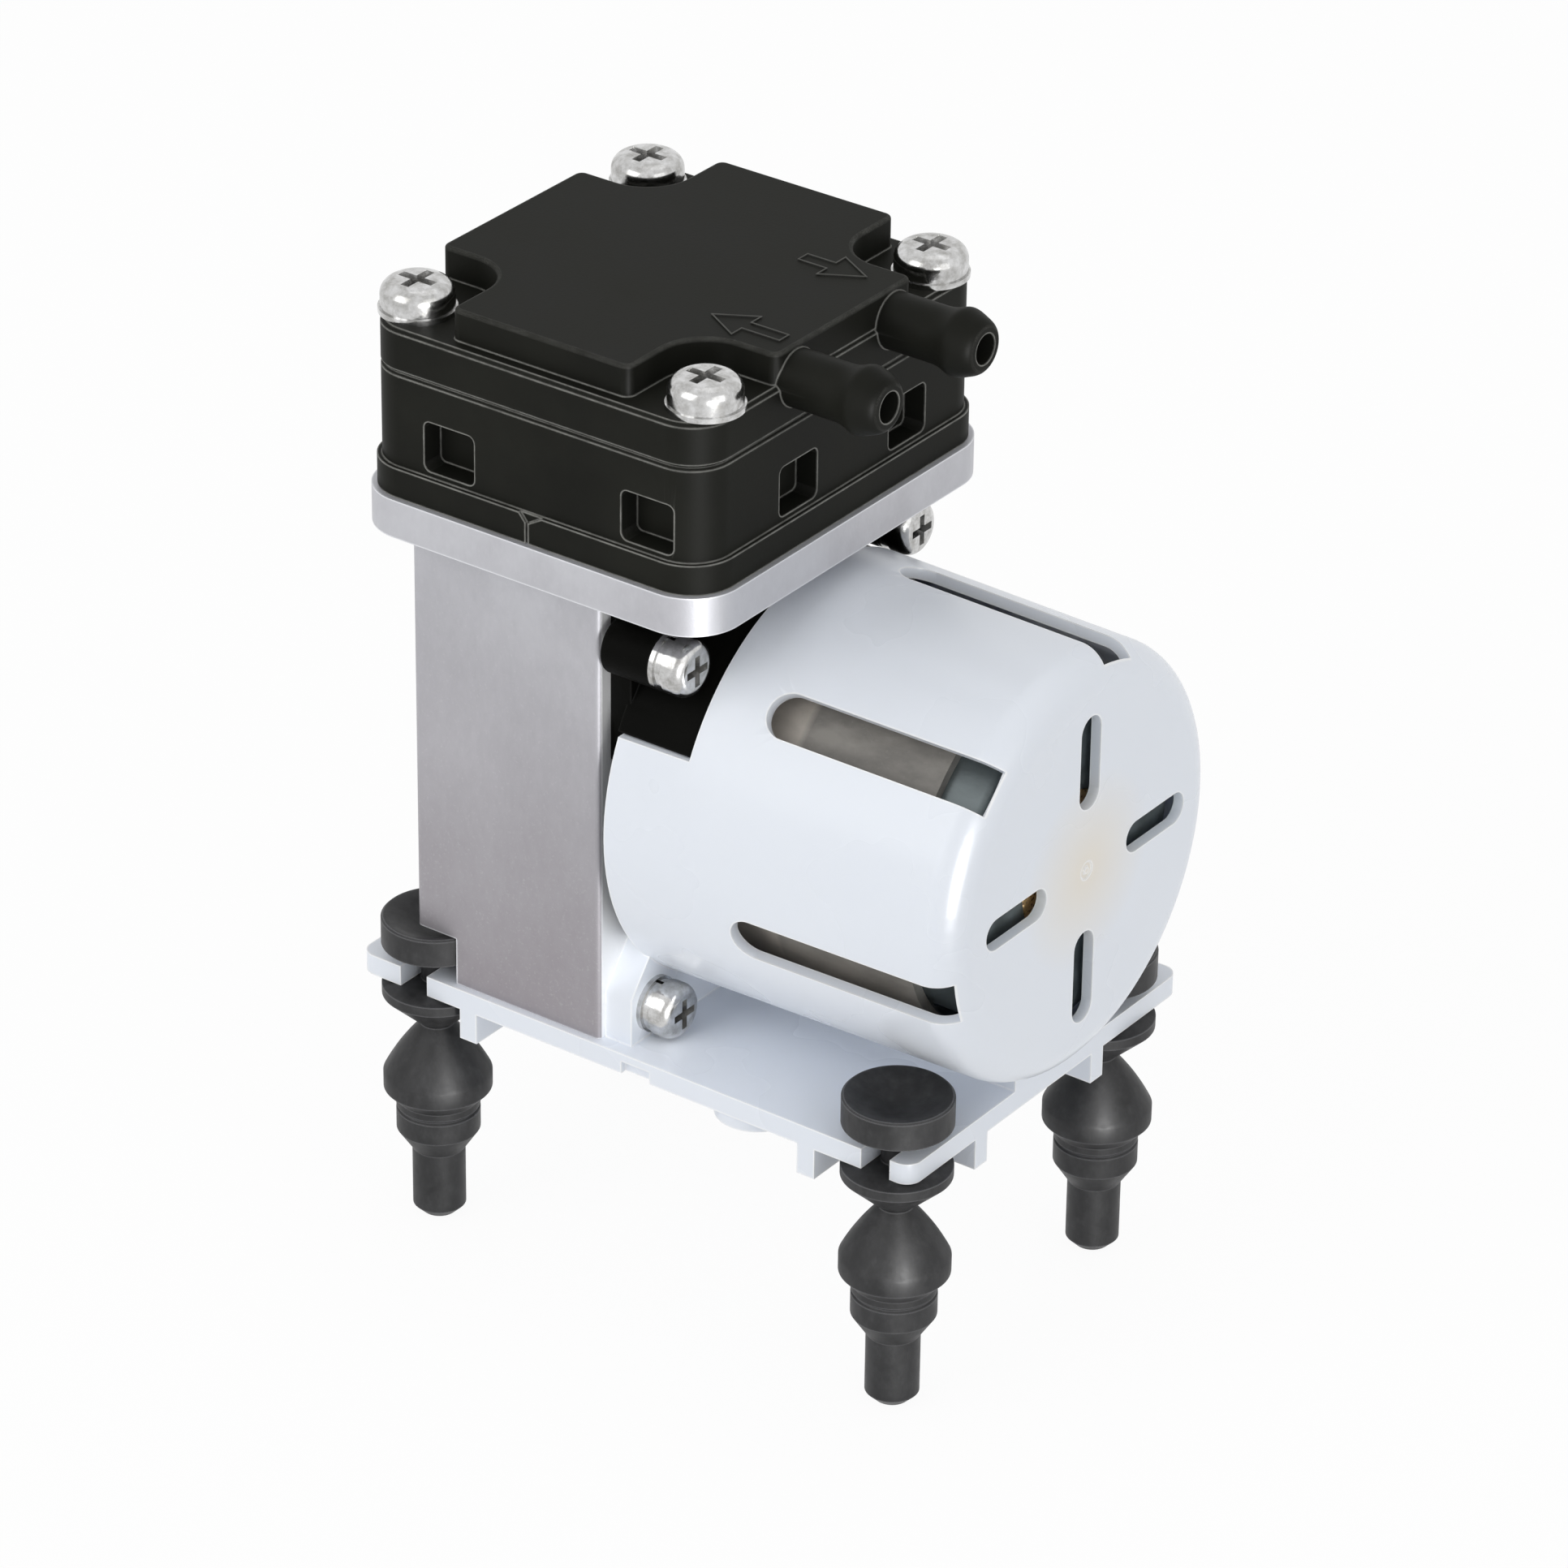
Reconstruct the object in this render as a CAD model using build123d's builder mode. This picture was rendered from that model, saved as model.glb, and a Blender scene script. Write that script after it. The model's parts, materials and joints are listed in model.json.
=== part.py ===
"""Small diaphragm vacuum pump: die-cast housing, black plastic head with two hose
nozzles, brush motor under a white cover moulded in one piece with the base plate,
and four rubber feet.

Frame: X runs along the motor, +X towards the hose nozzles. Y is across, Z is up.
The origin is the centre of the four feet, level with their lower ends.
"""
from build123d import *
from math import cos, radians, sin, sqrt
import os

os.makedirs("parts", exist_ok=True)

# ---------------------------------------------------------------- driving dimensions, mm

# Feet: rubber mounts pushed into open slots in the base plate
foot_pitch_x = 54.3
foot_pitch_y = 33.6
foot_disc_radius = 5.3
foot_stem_radius = 2.6
foot_neck_radius = 1.5
foot_step_radius = 4.1
foot_waist_radius = 1.65
foot_stem_length = 7.3
foot_stem_chamfer = 0.9
foot_shoulder_height = 2.3
foot_step_height = 3.4
foot_groove_from_top = 1.0
foot_groove_depth = 0.25
foot_undercut_height = 1.3
foot_band_height = 1.6
foot_flare_height = 5.0
foot_bell_crown = 0.16
foot_flare_rim = 1.5
foot_rim_gap = 0.5
foot_cap_rise = 1.9
foot_cap_rim = 2.9
foot_cap_chamfer = 0.2
foot_cap_wall = 0.6
foot_dish_depth = 1.7

# Base plate and the motor cover that is moulded with it
plate_bottom = 26.3
plate_thickness = 2.15
plate_rear_overhang = 6.6
plate_front_overhang = 4.0
plate_near_overhang = 3.5
plate_far_overhang = 7.5
plate_corner_radius = 1.6
rib_height = 3.2
rib_thickness = 2.0
near_rib_y = -8.9
far_rib_y = 10.3
rear_rib_from_foot = 6.6
front_rib_from_foot = 7.9
boss_radius = 4.0
boss_height = 1.4
boss_from_rib = 8.8

motor_axis_height = 52.3
cover_radius_back = 22.1
cover_radius_end = 21.4
cover_wall = 1.1
cover_standoff = 2.4
cover_length = 38.8
cover_end_rounding = 3.6
cover_back_rounding = 0.5
window_length = 8.0
window_above_axis = 9.7
side_slot_width = 4.5
side_slot_start = 13.9
side_slot_end_wall = 0.8
side_slot_angles = (15.4, 75.4, 135.4, 195.4, 315.4)
face_slot_width = 3.2
face_slot_inner = 6.5
face_slot_outer = 16.1
ear_thickness = 3.1
ear_half_width = 18.7
ear_shoulder_height = 5.0
ear_top_height = 9.6
ear_top_half_width = 15.0
web_thickness = 7.0
gate_mark_radius = 0.9
gate_mark_depth = 0.15
plate_nick_from_face = 4.75
plate_nick_length = 3.3
plate_nick_depth = 0.7

# Pump housing
head_x = -11.4
motor_face_x = -5.3
housing_depth = 21.9
housing_width = 39.2
housing_wall = 2.2
housing_corner_radius = 0.6
flange_top = 80.3
flange_thickness = 3.9
flange_length = 40.8
flange_width = 46.0
flange_corner_radius = 5.2
flange_blend = 1.8
diaphragm_opening_radius = 12.0

# Head
head_inset = 1.05
head_step = 0.5
head_rim_height = 3.0
head_seam_height = 12.5
cover_rim_height = 16.9
plateau_height = 20.05
plateau_width = 40.9
plateau_arm_x = 20.2
plateau_arm_y = 21.0
recess_radius = 4.8
side_pocket_width = 5.8
side_pocket_height = 5.0
side_pocket_corner = 0.7
side_pocket_depth = 2.4
side_pocket_sill = 0.6
long_side_pocket_rear = 9.3
long_side_pocket_front = 13.3
end_pocket_near = 7.2
end_pocket_far = 9.8
notch_width = 2.6
notch_depth = 0.9
notch_line = 0.3
chamber_height = 3.5
floor_thickness = 4.0
pocket_length = 27.0
gasket_border = 3.5
gasket_bridge = 2.4
pocket_corner = 5.2
valve_room = 0.6
valve_plate_thickness = 2.5
gasket_thickness = 1.0
part_gap = 0.15
nozzle_spacing = 15.0
nozzle_height = 16.8
nozzle_length = 10.1
nozzle_barrel_radius = 2.75
nozzle_bulb_radius = 3.3
nozzle_bulb_length = 4.6
nozzle_bore_radius = 1.5
head_screw_spacing_x = 32.8
head_screw_spacing_y = 34.8

# Screws
m4_head_radius = 3.5
m4_head_height = 2.6
m4_radius = 1.95
m3_head_radius = 2.8
m3_head_height = 2.2
m3_radius = 1.45
washer_radius = 2.8
washer_thickness = 0.5
spring_washer_thickness = 0.9
upper_screw_half_spacing = 17.7
upper_screw_above_axis = 18.0
lower_screw_half_spacing = 15.2
lower_screw_above_plate = 3.2
bracket_boss_length = 3.8
bracket_boss_root = 1.6
bracket_half_width = 17.9
bracket_overlap = 4.0
bracket_edge_inset = 0.4
window_arch_inset = 0.3
window_arch_root = 0.5
bracket_screw_spacing = 11.0
bracket_screw_radius = 1.25
bracket_screw_head = 1.9
bracket_screw_depth = 1.4

# Motor
motor_can_radius = 17.4
motor_can_wall = 1.2
flux_ring_thickness = 1.0
flux_ring_start = 5.2
flux_ring_end = 0.4
flux_ring_slit = 0.8
motor_can_length = 32.0
end_cap_length = 4.6
bearing_boss_radius = 6.5
bearing_radius = 5.0
rear_bearing_radius = 7.2
rear_boss_radius = 8.6
shaft_radius = 1.585
running_clearance = 0.03
magnet_thickness = 3.4
magnet_air_gap = 0.5

# Crank, rod and diaphragm
crank_throw = 0.9
journal_radius = 4.0
ball_bearing_radius = 8.0
ball_bearing_width = 4.0
rod_eye_radius = 10.2
rod_stem_width = 6.0
rod_thickness = 4.0
rod_side_gap = 0.5
crank_hub_length = 3.2
counterweight_radius = 11.5
counterweight_thickness = 3.4
diaphragm_thickness = 0.8
diaphragm_radius = 15.4
support_plate_radius = 8.5
support_plate_thickness = 1.5
retainer_radius = 7.2
retainer_thickness = 1.2

# Check valves
valve_disc_radius = 3.9
valve_disc_thickness = 1.0
valve_lift = 0.5
valve_well_depth = 2.2
valve_stem_radius = 1.0
valve_spacing = 15.0
passage_radius = 3.2

# ---------------------------------------------------------------- positions that follow

pocket_width = valve_spacing + 2 * (valve_disc_radius + valve_room + gasket_border)
housing_blend = min(flange_blend, 0.45 * (flange_width - housing_width))

foot_spots = {
    "foot_rear_near": (-foot_pitch_x / 2, -foot_pitch_y / 2),
    "foot_rear_far": (-foot_pitch_x / 2, foot_pitch_y / 2),
    "foot_front_near": (foot_pitch_x / 2, -foot_pitch_y / 2),
    "foot_front_far": (foot_pitch_x / 2, foot_pitch_y / 2),
}
plate_top = plate_bottom + plate_thickness
plate_rear = -foot_pitch_x / 2 - plate_rear_overhang
plate_front = foot_pitch_x / 2 + plate_front_overhang
plate_near = -foot_pitch_y / 2 - plate_near_overhang
plate_far = foot_pitch_y / 2 + plate_far_overhang

cover_back = motor_face_x + cover_standoff
cover_end = cover_back + cover_length
axis_z = motor_axis_height

housing_rear_x = motor_face_x - housing_depth
housing_mid_x = motor_face_x - housing_depth / 2
flange_bottom = flange_top - flange_thickness

head_length = flange_length - 2 * head_inset
head_width = flange_width - 2 * head_inset
head_corner_radius = flange_corner_radius - head_inset
head_seam = flange_top + head_seam_height
head_rim_top = flange_top + cover_rim_height
head_top = flange_top + plateau_height
chamber_roof = flange_top + chamber_height
pocket_floor = chamber_roof + floor_thickness
valve_plate_top = pocket_floor + valve_plate_thickness
gasket_top = valve_plate_top + gasket_thickness
nozzle_z = flange_top + nozzle_height
nozzle_root_x = head_x + head_length / 2
nozzle_tip_x = nozzle_root_x + nozzle_length

crank_z = axis_z - crank_throw
disc_drop = -crank_throw
diaphragm_centre = flange_top + disc_drop
rod_top = diaphragm_centre - support_plate_thickness

bracket_front = motor_face_x + cover_standoff
boss_front = bracket_front + bracket_boss_length
upper_screw_z = axis_z + upper_screw_above_axis
lower_screw_z = plate_top + lower_screw_above_plate
ear_front = motor_face_x + ear_thickness
can_end = bracket_front + motor_can_length
cap_end = can_end + end_cap_length
shaft_bore_radius = shaft_radius + running_clearance
journal_front = head_x + ball_bearing_width / 2
journal_back = head_x - ball_bearing_width / 2
crank_shoulder_x = journal_back - rod_side_gap
crank_hub_front = crank_shoulder_x - counterweight_thickness
crank_hub_back = crank_hub_front - crank_hub_length

pieces = {}


def upright_section(x, y, z):
    """Plane through a point, parallel to XZ, for profiles revolved about Z."""
    return Plane(origin=(x, y, z), x_dir=(1, 0, 0), z_dir=(0, -1, 0))


# ---------------------------------------------------------------- base plate and cover

def cover_radius(x):
    """Outer radius of the motor cover at x: it tapers slightly to the end."""
    share = (x - cover_back) / cover_length
    return cover_radius_back + (cover_radius_end - cover_radius_back) * share


with BuildPart() as base_cover:
    # Base plate with one open slot at each foot
    with BuildSketch(Plane.XY.offset(plate_bottom)):
        with Locations(((plate_rear + plate_front) / 2, (plate_near + plate_far) / 2)):
            RectangleRounded(
                plate_front - plate_rear, plate_far - plate_near, plate_corner_radius
            )
        for foot_x, foot_y in foot_spots.values():
            edge_y = plate_near if foot_y < 0 else plate_far
            with Locations((foot_x, foot_y)):
                Circle(foot_neck_radius + 0.1, mode=Mode.SUBTRACT)
            with Locations((foot_x, (foot_y + edge_y) / 2)):
                Rectangle(
                    2 * foot_neck_radius + 0.2, abs(edge_y - foot_y), mode=Mode.SUBTRACT
                )
    extrude(amount=plate_thickness)

    # Ribs under the plate: two across, and two pairs out to the plate's ends
    rear_rib_x = -foot_pitch_x / 2 + rear_rib_from_foot
    front_rib_x = foot_pitch_x / 2 - front_rib_from_foot
    rib_base = plate_bottom - rib_height
    with BuildSketch(Plane.XY.offset(rib_base)):
        for rib_x in (rear_rib_x, front_rib_x):
            with Locations((rib_x, (plate_near + plate_far) / 2)):
                Rectangle(rib_thickness, plate_far - plate_near)
        for rib_y in (near_rib_y, far_rib_y):
            with Locations(((front_rib_x + plate_front) / 2, rib_y)):
                Rectangle(plate_front - front_rib_x, rib_thickness)
            with Locations(((rear_rib_x + plate_rear) / 2, rib_y)):
                Rectangle(rear_rib_x - plate_rear, rib_thickness)
    extrude(amount=rib_height)
    with BuildSketch(Plane.XY.offset(plate_bottom - boss_height)):
        with Locations((front_rib_x - boss_from_rib, plate_near + boss_radius + 0.3)):
            Circle(boss_radius)
    extrude(amount=boss_height)

    # Barrel over the motor, with its rounded end and the web that joins it to the plate
    with BuildSketch(Plane.XZ) as barrel_profile:
        with BuildLine():
            Polyline(
                (cover_back, axis_z),
                (cover_end, axis_z),
                (cover_end, axis_z + cover_radius_end),
                (cover_back, axis_z + cover_radius_back),
                close=True,
            )
        make_face()
        outer_corners = barrel_profile.vertices().sort_by(Axis.Y)[-2:].sort_by(Axis.X)
        fillet(outer_corners[-1], radius=cover_end_rounding)
        fillet(outer_corners[0], radius=cover_back_rounding)
    revolve(axis=Axis((0, 0, axis_z), (1, 0, 0)))
    with BuildSketch(Plane.XY.offset(plate_top)):
        with Locations(((cover_back + plate_front) / 2, 0)):
            Rectangle(plate_front - cover_back, web_thickness)
    extrude(amount=axis_z - cover_radius_end + 2 - plate_top)

    # Yoke with two ears that screws to the housing
    with BuildSketch(Plane.YZ.offset(motor_face_x)):
        with BuildLine():
            Polyline(
                (-ear_half_width, plate_top),
                (-ear_half_width, plate_top + ear_shoulder_height),
                (-ear_top_half_width, plate_top + ear_top_height),
                (ear_top_half_width, plate_top + ear_top_height),
                (ear_half_width, plate_top + ear_shoulder_height),
                (ear_half_width, plate_top),
                close=True,
            )
        make_face()
    extrude(amount=ear_thickness)

    # Inside of the barrel, open towards the housing
    with BuildSketch(Plane.XZ) as barrel_inside:
        with BuildLine():
            Polyline(
                (motor_face_x - 1, axis_z),
                (cover_end - cover_wall, axis_z),
                (cover_end - cover_wall, axis_z + cover_radius_end - cover_wall),
                (cover_back, axis_z + cover_radius_back - cover_wall),
                (motor_face_x - 1, axis_z + cover_radius_back - cover_wall),
                close=True,
            )
        make_face()
        inner_corner = barrel_inside.vertices().sort_by(Axis.X)[-2:].sort_by(Axis.Y)[-1]
        fillet(inner_corner, radius=cover_end_rounding - cover_wall)
    revolve(axis=Axis((0, 0, axis_z), (1, 0, 0)), mode=Mode.SUBTRACT)

    # Window over the upper screws
    with BuildSketch(Plane.YZ.offset(cover_back)):
        with Locations((0, axis_z + window_above_axis + cover_radius_back)):
            Rectangle(2 * cover_radius_back + 2, 2 * cover_radius_back)
    extrude(amount=window_length, mode=Mode.SUBTRACT)

    # Cooling slots along the barrel, rounded at the housing end
    slot_start = cover_back + side_slot_start
    slot_end = cover_end - side_slot_end_wall
    for angle in side_slot_angles:
        outward = Vector(0, cos(radians(angle)), sin(radians(angle)))
        slot_plane = Plane(
            origin=Vector(0, 0, axis_z) + outward * (cover_radius_end - cover_wall - 1.2),
            x_dir=(1, 0, 0),
            z_dir=outward,
        )
        with BuildSketch(slot_plane):
            with Locations((slot_start + side_slot_width / 2, 0)):
                Circle(side_slot_width / 2)
            with Locations(((slot_start + side_slot_width / 2 + slot_end) / 2, 0)):
                Rectangle(slot_end - slot_start - side_slot_width / 2, side_slot_width)
        extrude(amount=cover_wall + 3, mode=Mode.SUBTRACT)

    # Four radial slots through the end wall
    with BuildSketch(Plane.YZ.offset(cover_end - cover_wall - 0.5)):
        with Locations((0, axis_z)):
            with PolarLocations((face_slot_inner + face_slot_outer) / 2, 4):
                SlotOverall(face_slot_outer - face_slot_inner, face_slot_width)
    extrude(amount=cover_wall + 1, mode=Mode.SUBTRACT)

    # Gate mark at the middle of the end wall, and a nick in the plate's near edge
    with BuildSketch(Plane.YZ.offset(cover_end - gate_mark_depth)):
        with Locations((0, axis_z)):
            Circle(gate_mark_radius)
            Circle(gate_mark_radius * 0.4, mode=Mode.SUBTRACT)
    extrude(amount=gate_mark_depth, mode=Mode.SUBTRACT)
    with BuildSketch(Plane.XY.offset(plate_bottom)):
        with Locations((motor_face_x + plate_nick_from_face, plate_near)):
            Rectangle(plate_nick_length, 2 * plate_nick_depth)
    extrude(amount=plate_thickness * 0.6, mode=Mode.SUBTRACT)

    # Clearance holes for the lower screws
    with BuildSketch(Plane.YZ.offset(motor_face_x)):
        with Locations(
            (-lower_screw_half_spacing, lower_screw_z),
            (lower_screw_half_spacing, lower_screw_z),
        ):
            Circle(m3_radius + 0.15)
    extrude(amount=ear_thickness, mode=Mode.SUBTRACT)
pieces["base_cover"] = base_cover


# ---------------------------------------------------------------- pump housing

with BuildPart() as pump_housing:
    with BuildSketch(Plane.XY.offset(plate_top)):
        with Locations((housing_mid_x, 0)):
            RectangleRounded(housing_depth, housing_width, housing_corner_radius)
    extrude(amount=flange_bottom - plate_top)
    with BuildSketch(Plane.XY.offset(flange_bottom)):
        with Locations((head_x, 0)):
            RectangleRounded(flange_length, flange_width, flange_corner_radius)
    extrude(amount=flange_thickness)
    under_flange = (
        pump_housing.edges()
        .filter_by_position(Axis.Z, flange_bottom - 0.01, flange_bottom + 0.01)
        .filter_by_position(Axis.X, housing_rear_x - 0.01, motor_face_x + 0.01)
        .filter_by_position(Axis.Y, -housing_width / 2 - 0.01, housing_width / 2 + 0.01)
    )
    fillet(under_flange, radius=housing_blend)

    # Crankcase, open at the bottom onto the base plate
    case_top = flange_bottom - 1.0
    post_top = plate_top + foot_cap_rise + foot_cap_rim + part_gap + housing_wall
    for cavity_bottom, cavity_top in ((plate_top, post_top), (post_top, case_top)):
        with BuildSketch(Plane.XY.offset(cavity_bottom)):
            with Locations((housing_mid_x, 0)):
                RectangleRounded(
                    housing_depth - 2 * housing_wall,
                    housing_width - 2 * housing_wall,
                    housing_corner_radius,
                )
            if cavity_bottom == plate_top:
                with Locations(foot_spots["foot_rear_near"], foot_spots["foot_rear_far"]):
                    Circle(foot_disc_radius + part_gap + housing_wall, mode=Mode.SUBTRACT)
        extrude(amount=cavity_top - cavity_bottom, mode=Mode.SUBTRACT)
    with BuildSketch(Plane.XY.offset(case_top)):
        with Locations((head_x, 0)):
            Circle(diaphragm_opening_radius)
    extrude(amount=flange_top - case_top, mode=Mode.SUBTRACT)

    # Motor bearing bore, screw holes in the motor face
    with BuildSketch(Plane.YZ.offset(motor_face_x - housing_wall)):
        with Locations((0, axis_z)):
            Circle(bearing_boss_radius + part_gap)
        with Locations(
            (-upper_screw_half_spacing, upper_screw_z),
            (upper_screw_half_spacing, upper_screw_z),
            (-lower_screw_half_spacing, lower_screw_z),
            (lower_screw_half_spacing, lower_screw_z),
        ):
            Circle(m3_radius)
    extrude(amount=housing_wall, mode=Mode.SUBTRACT)

    # Tapped holes for the head screws
    with BuildSketch(Plane.XY.offset(flange_bottom)):
        with Locations((head_x, 0)):
            with GridLocations(head_screw_spacing_x, head_screw_spacing_y, 2, 2):
                Circle(m4_radius)
    extrude(amount=flange_thickness, mode=Mode.SUBTRACT)

    # Pockets in the lower corners for the caps of the rear feet
    with BuildSketch(Plane.XY.offset(plate_top)):
        for name in ("foot_rear_near", "foot_rear_far"):
            with Locations(foot_spots[name]):
                Circle(foot_disc_radius + part_gap)
    extrude(amount=foot_cap_rise + foot_cap_rim + part_gap, mode=Mode.SUBTRACT)
pieces["pump_housing"] = pump_housing


# ---------------------------------------------------------------- head

def head_outline(extra=0.0):
    """Rounded rectangle of the head, larger by extra all round."""
    RectangleRounded(
        head_length + 2 * extra, head_width + 2 * extra, head_corner_radius + extra
    )


with BuildPart() as head_frame:
    with BuildSketch(Plane.XY.offset(flange_top)):
        with Locations((head_x, 0)):
            head_outline(head_step)
    extrude(amount=head_rim_height)
    with BuildSketch(Plane.XY.offset(flange_top + head_rim_height)):
        with Locations((head_x, 0)):
            head_outline()
    extrude(amount=head_seam_height - head_rim_height)
    chamfer(head_frame.faces().sort_by(Axis.Z)[-1].edges(), length=0.3)

    # Blind pockets in the walls: two in each long side, two in each end
    pocket_z = flange_top + head_rim_height + side_pocket_height / 2 + side_pocket_sill
    for side in (-1, 1):
        with BuildSketch(Plane.XZ.offset(-side * head_width / 2)):
            with Locations(
                (head_x - long_side_pocket_rear, pocket_z),
                (head_x + long_side_pocket_front, pocket_z),
            ):
                RectangleRounded(side_pocket_width, side_pocket_height, side_pocket_corner)
        extrude(amount=side * side_pocket_depth, mode=Mode.SUBTRACT)
        with BuildSketch(Plane.YZ.offset(head_x + side * head_length / 2)):
            with Locations((-end_pocket_near, pocket_z), (end_pocket_far, pocket_z)):
                RectangleRounded(side_pocket_width, side_pocket_height, side_pocket_corner)
        extrude(amount=-side * side_pocket_depth, mode=Mode.SUBTRACT)

        # Parting notch in the lower rim, with a fine line below it
        rim_face = Plane.XZ.offset(-side * (head_width / 2 + head_step))
        with BuildSketch(rim_face):
            with BuildLine():
                Polyline(
                    (head_x - notch_width * 0.35, flange_top + head_rim_height),
                    (head_x + notch_width * 0.65, flange_top + head_rim_height),
                    (head_x + notch_line / 2, flange_top + head_rim_height - notch_depth),
                    (head_x + notch_line / 2, flange_top),
                    (head_x - notch_line / 2, flange_top),
                    (head_x - notch_line / 2, flange_top + head_rim_height - notch_depth),
                    close=True,
                )
            make_face()
        extrude(amount=side * notch_line, mode=Mode.SUBTRACT)

    # Seat for the diaphragm's rim, chamber over it, passages, and valve plate pocket
    with BuildSketch(Plane.XY.offset(flange_top)):
        with Locations((head_x, 0)):
            Circle(diaphragm_radius + part_gap)
    extrude(amount=diaphragm_thickness, mode=Mode.SUBTRACT)
    with BuildSketch(Plane.XY.offset(flange_top)):
        with Locations((head_x, 0)):
            Circle(diaphragm_opening_radius)
    extrude(amount=chamber_height, mode=Mode.SUBTRACT)
    with BuildSketch(Plane.XY.offset(chamber_roof)):
        with Locations((head_x, -valve_spacing / 2), (head_x, valve_spacing / 2)):
            Circle(passage_radius)
    extrude(amount=floor_thickness, mode=Mode.SUBTRACT)
    with BuildSketch(Plane.XY.offset(pocket_floor)):
        with Locations((head_x, 0)):
            RectangleRounded(pocket_length, pocket_width, pocket_corner + part_gap)
    extrude(amount=head_seam - pocket_floor, mode=Mode.SUBTRACT)
    # Room for the inlet valve to open downwards
    with BuildSketch(Plane.XY.offset(pocket_floor - valve_well_depth)):
        with Locations((head_x, -valve_spacing / 2)):
            Circle(valve_disc_radius + valve_room)
    extrude(amount=valve_well_depth, mode=Mode.SUBTRACT)

    with BuildSketch(Plane.XY.offset(flange_top)):
        with Locations((head_x, 0)):
            with GridLocations(head_screw_spacing_x, head_screw_spacing_y, 2, 2):
                Circle(m4_radius + 0.2)
    extrude(amount=head_seam_height, mode=Mode.SUBTRACT)
pieces["head_frame"] = head_frame

with BuildPart() as valve_plate:
    with BuildSketch(Plane.XY.offset(pocket_floor)):
        with Locations((head_x, 0)):
            RectangleRounded(
                pocket_length - 2 * part_gap, pocket_width - 2 * part_gap, pocket_corner
            )
        for valve_y in (-valve_spacing / 2, valve_spacing / 2):
            with Locations((head_x, valve_y)):
                Circle(valve_stem_radius + 0.3, mode=Mode.SUBTRACT)
                with PolarLocations(2.5, 6):
                    Circle(0.6, mode=Mode.SUBTRACT)
    extrude(amount=valve_plate_thickness)
pieces["valve_plate"] = valve_plate

with BuildPart() as valve_gasket:
    with BuildSketch(Plane.XY.offset(valve_plate_top)):
        with Locations((head_x, 0)):
            RectangleRounded(
                pocket_length - 4 * part_gap, pocket_width - 4 * part_gap, pocket_corner
            )
            RectangleRounded(
                pocket_length - 2 * gasket_border,
                pocket_width - 2 * gasket_border,
                pocket_corner - gasket_border / 2,
                mode=Mode.SUBTRACT,
            )
            Rectangle(pocket_length - 2 * gasket_border + 1, gasket_bridge)
    extrude(amount=gasket_thickness)
pieces["valve_gasket"] = valve_gasket


def valve_profile(direction):
    """Half section of an umbrella valve along +Z (direction 1) or -Z (direction -1)."""
    face = 0 if direction > 0 else valve_plate_thickness
    seat = valve_plate_thickness if direction > 0 else 0
    tail = face - direction * (valve_lift + 0.4)
    return [
        (0, seat + direction * valve_disc_thickness * 1.3),
        (valve_disc_radius * 0.5, seat + direction * valve_disc_thickness),
        (valve_disc_radius, seat + direction * valve_disc_thickness * 0.4),
        (valve_disc_radius, seat),
        (valve_stem_radius, seat),
        (valve_stem_radius, tail),
        (1.7, tail - direction * 0.3),
        (1.0, tail - direction * 1.5),
        (0, tail - direction * 1.5),
    ]


for name, valve_y, direction in (
    ("inlet_valve", -valve_spacing / 2, -1),
    ("outlet_valve", valve_spacing / 2, 1),
):
    with BuildPart() as valve:
        with BuildSketch(upright_section(head_x, valve_y, pocket_floor)):
            with BuildLine():
                Polyline(*valve_profile(direction), close=True)
            make_face()
        revolve(axis=Axis((head_x, valve_y, 0), (0, 0, 1)))
    pieces[name] = valve

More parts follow.
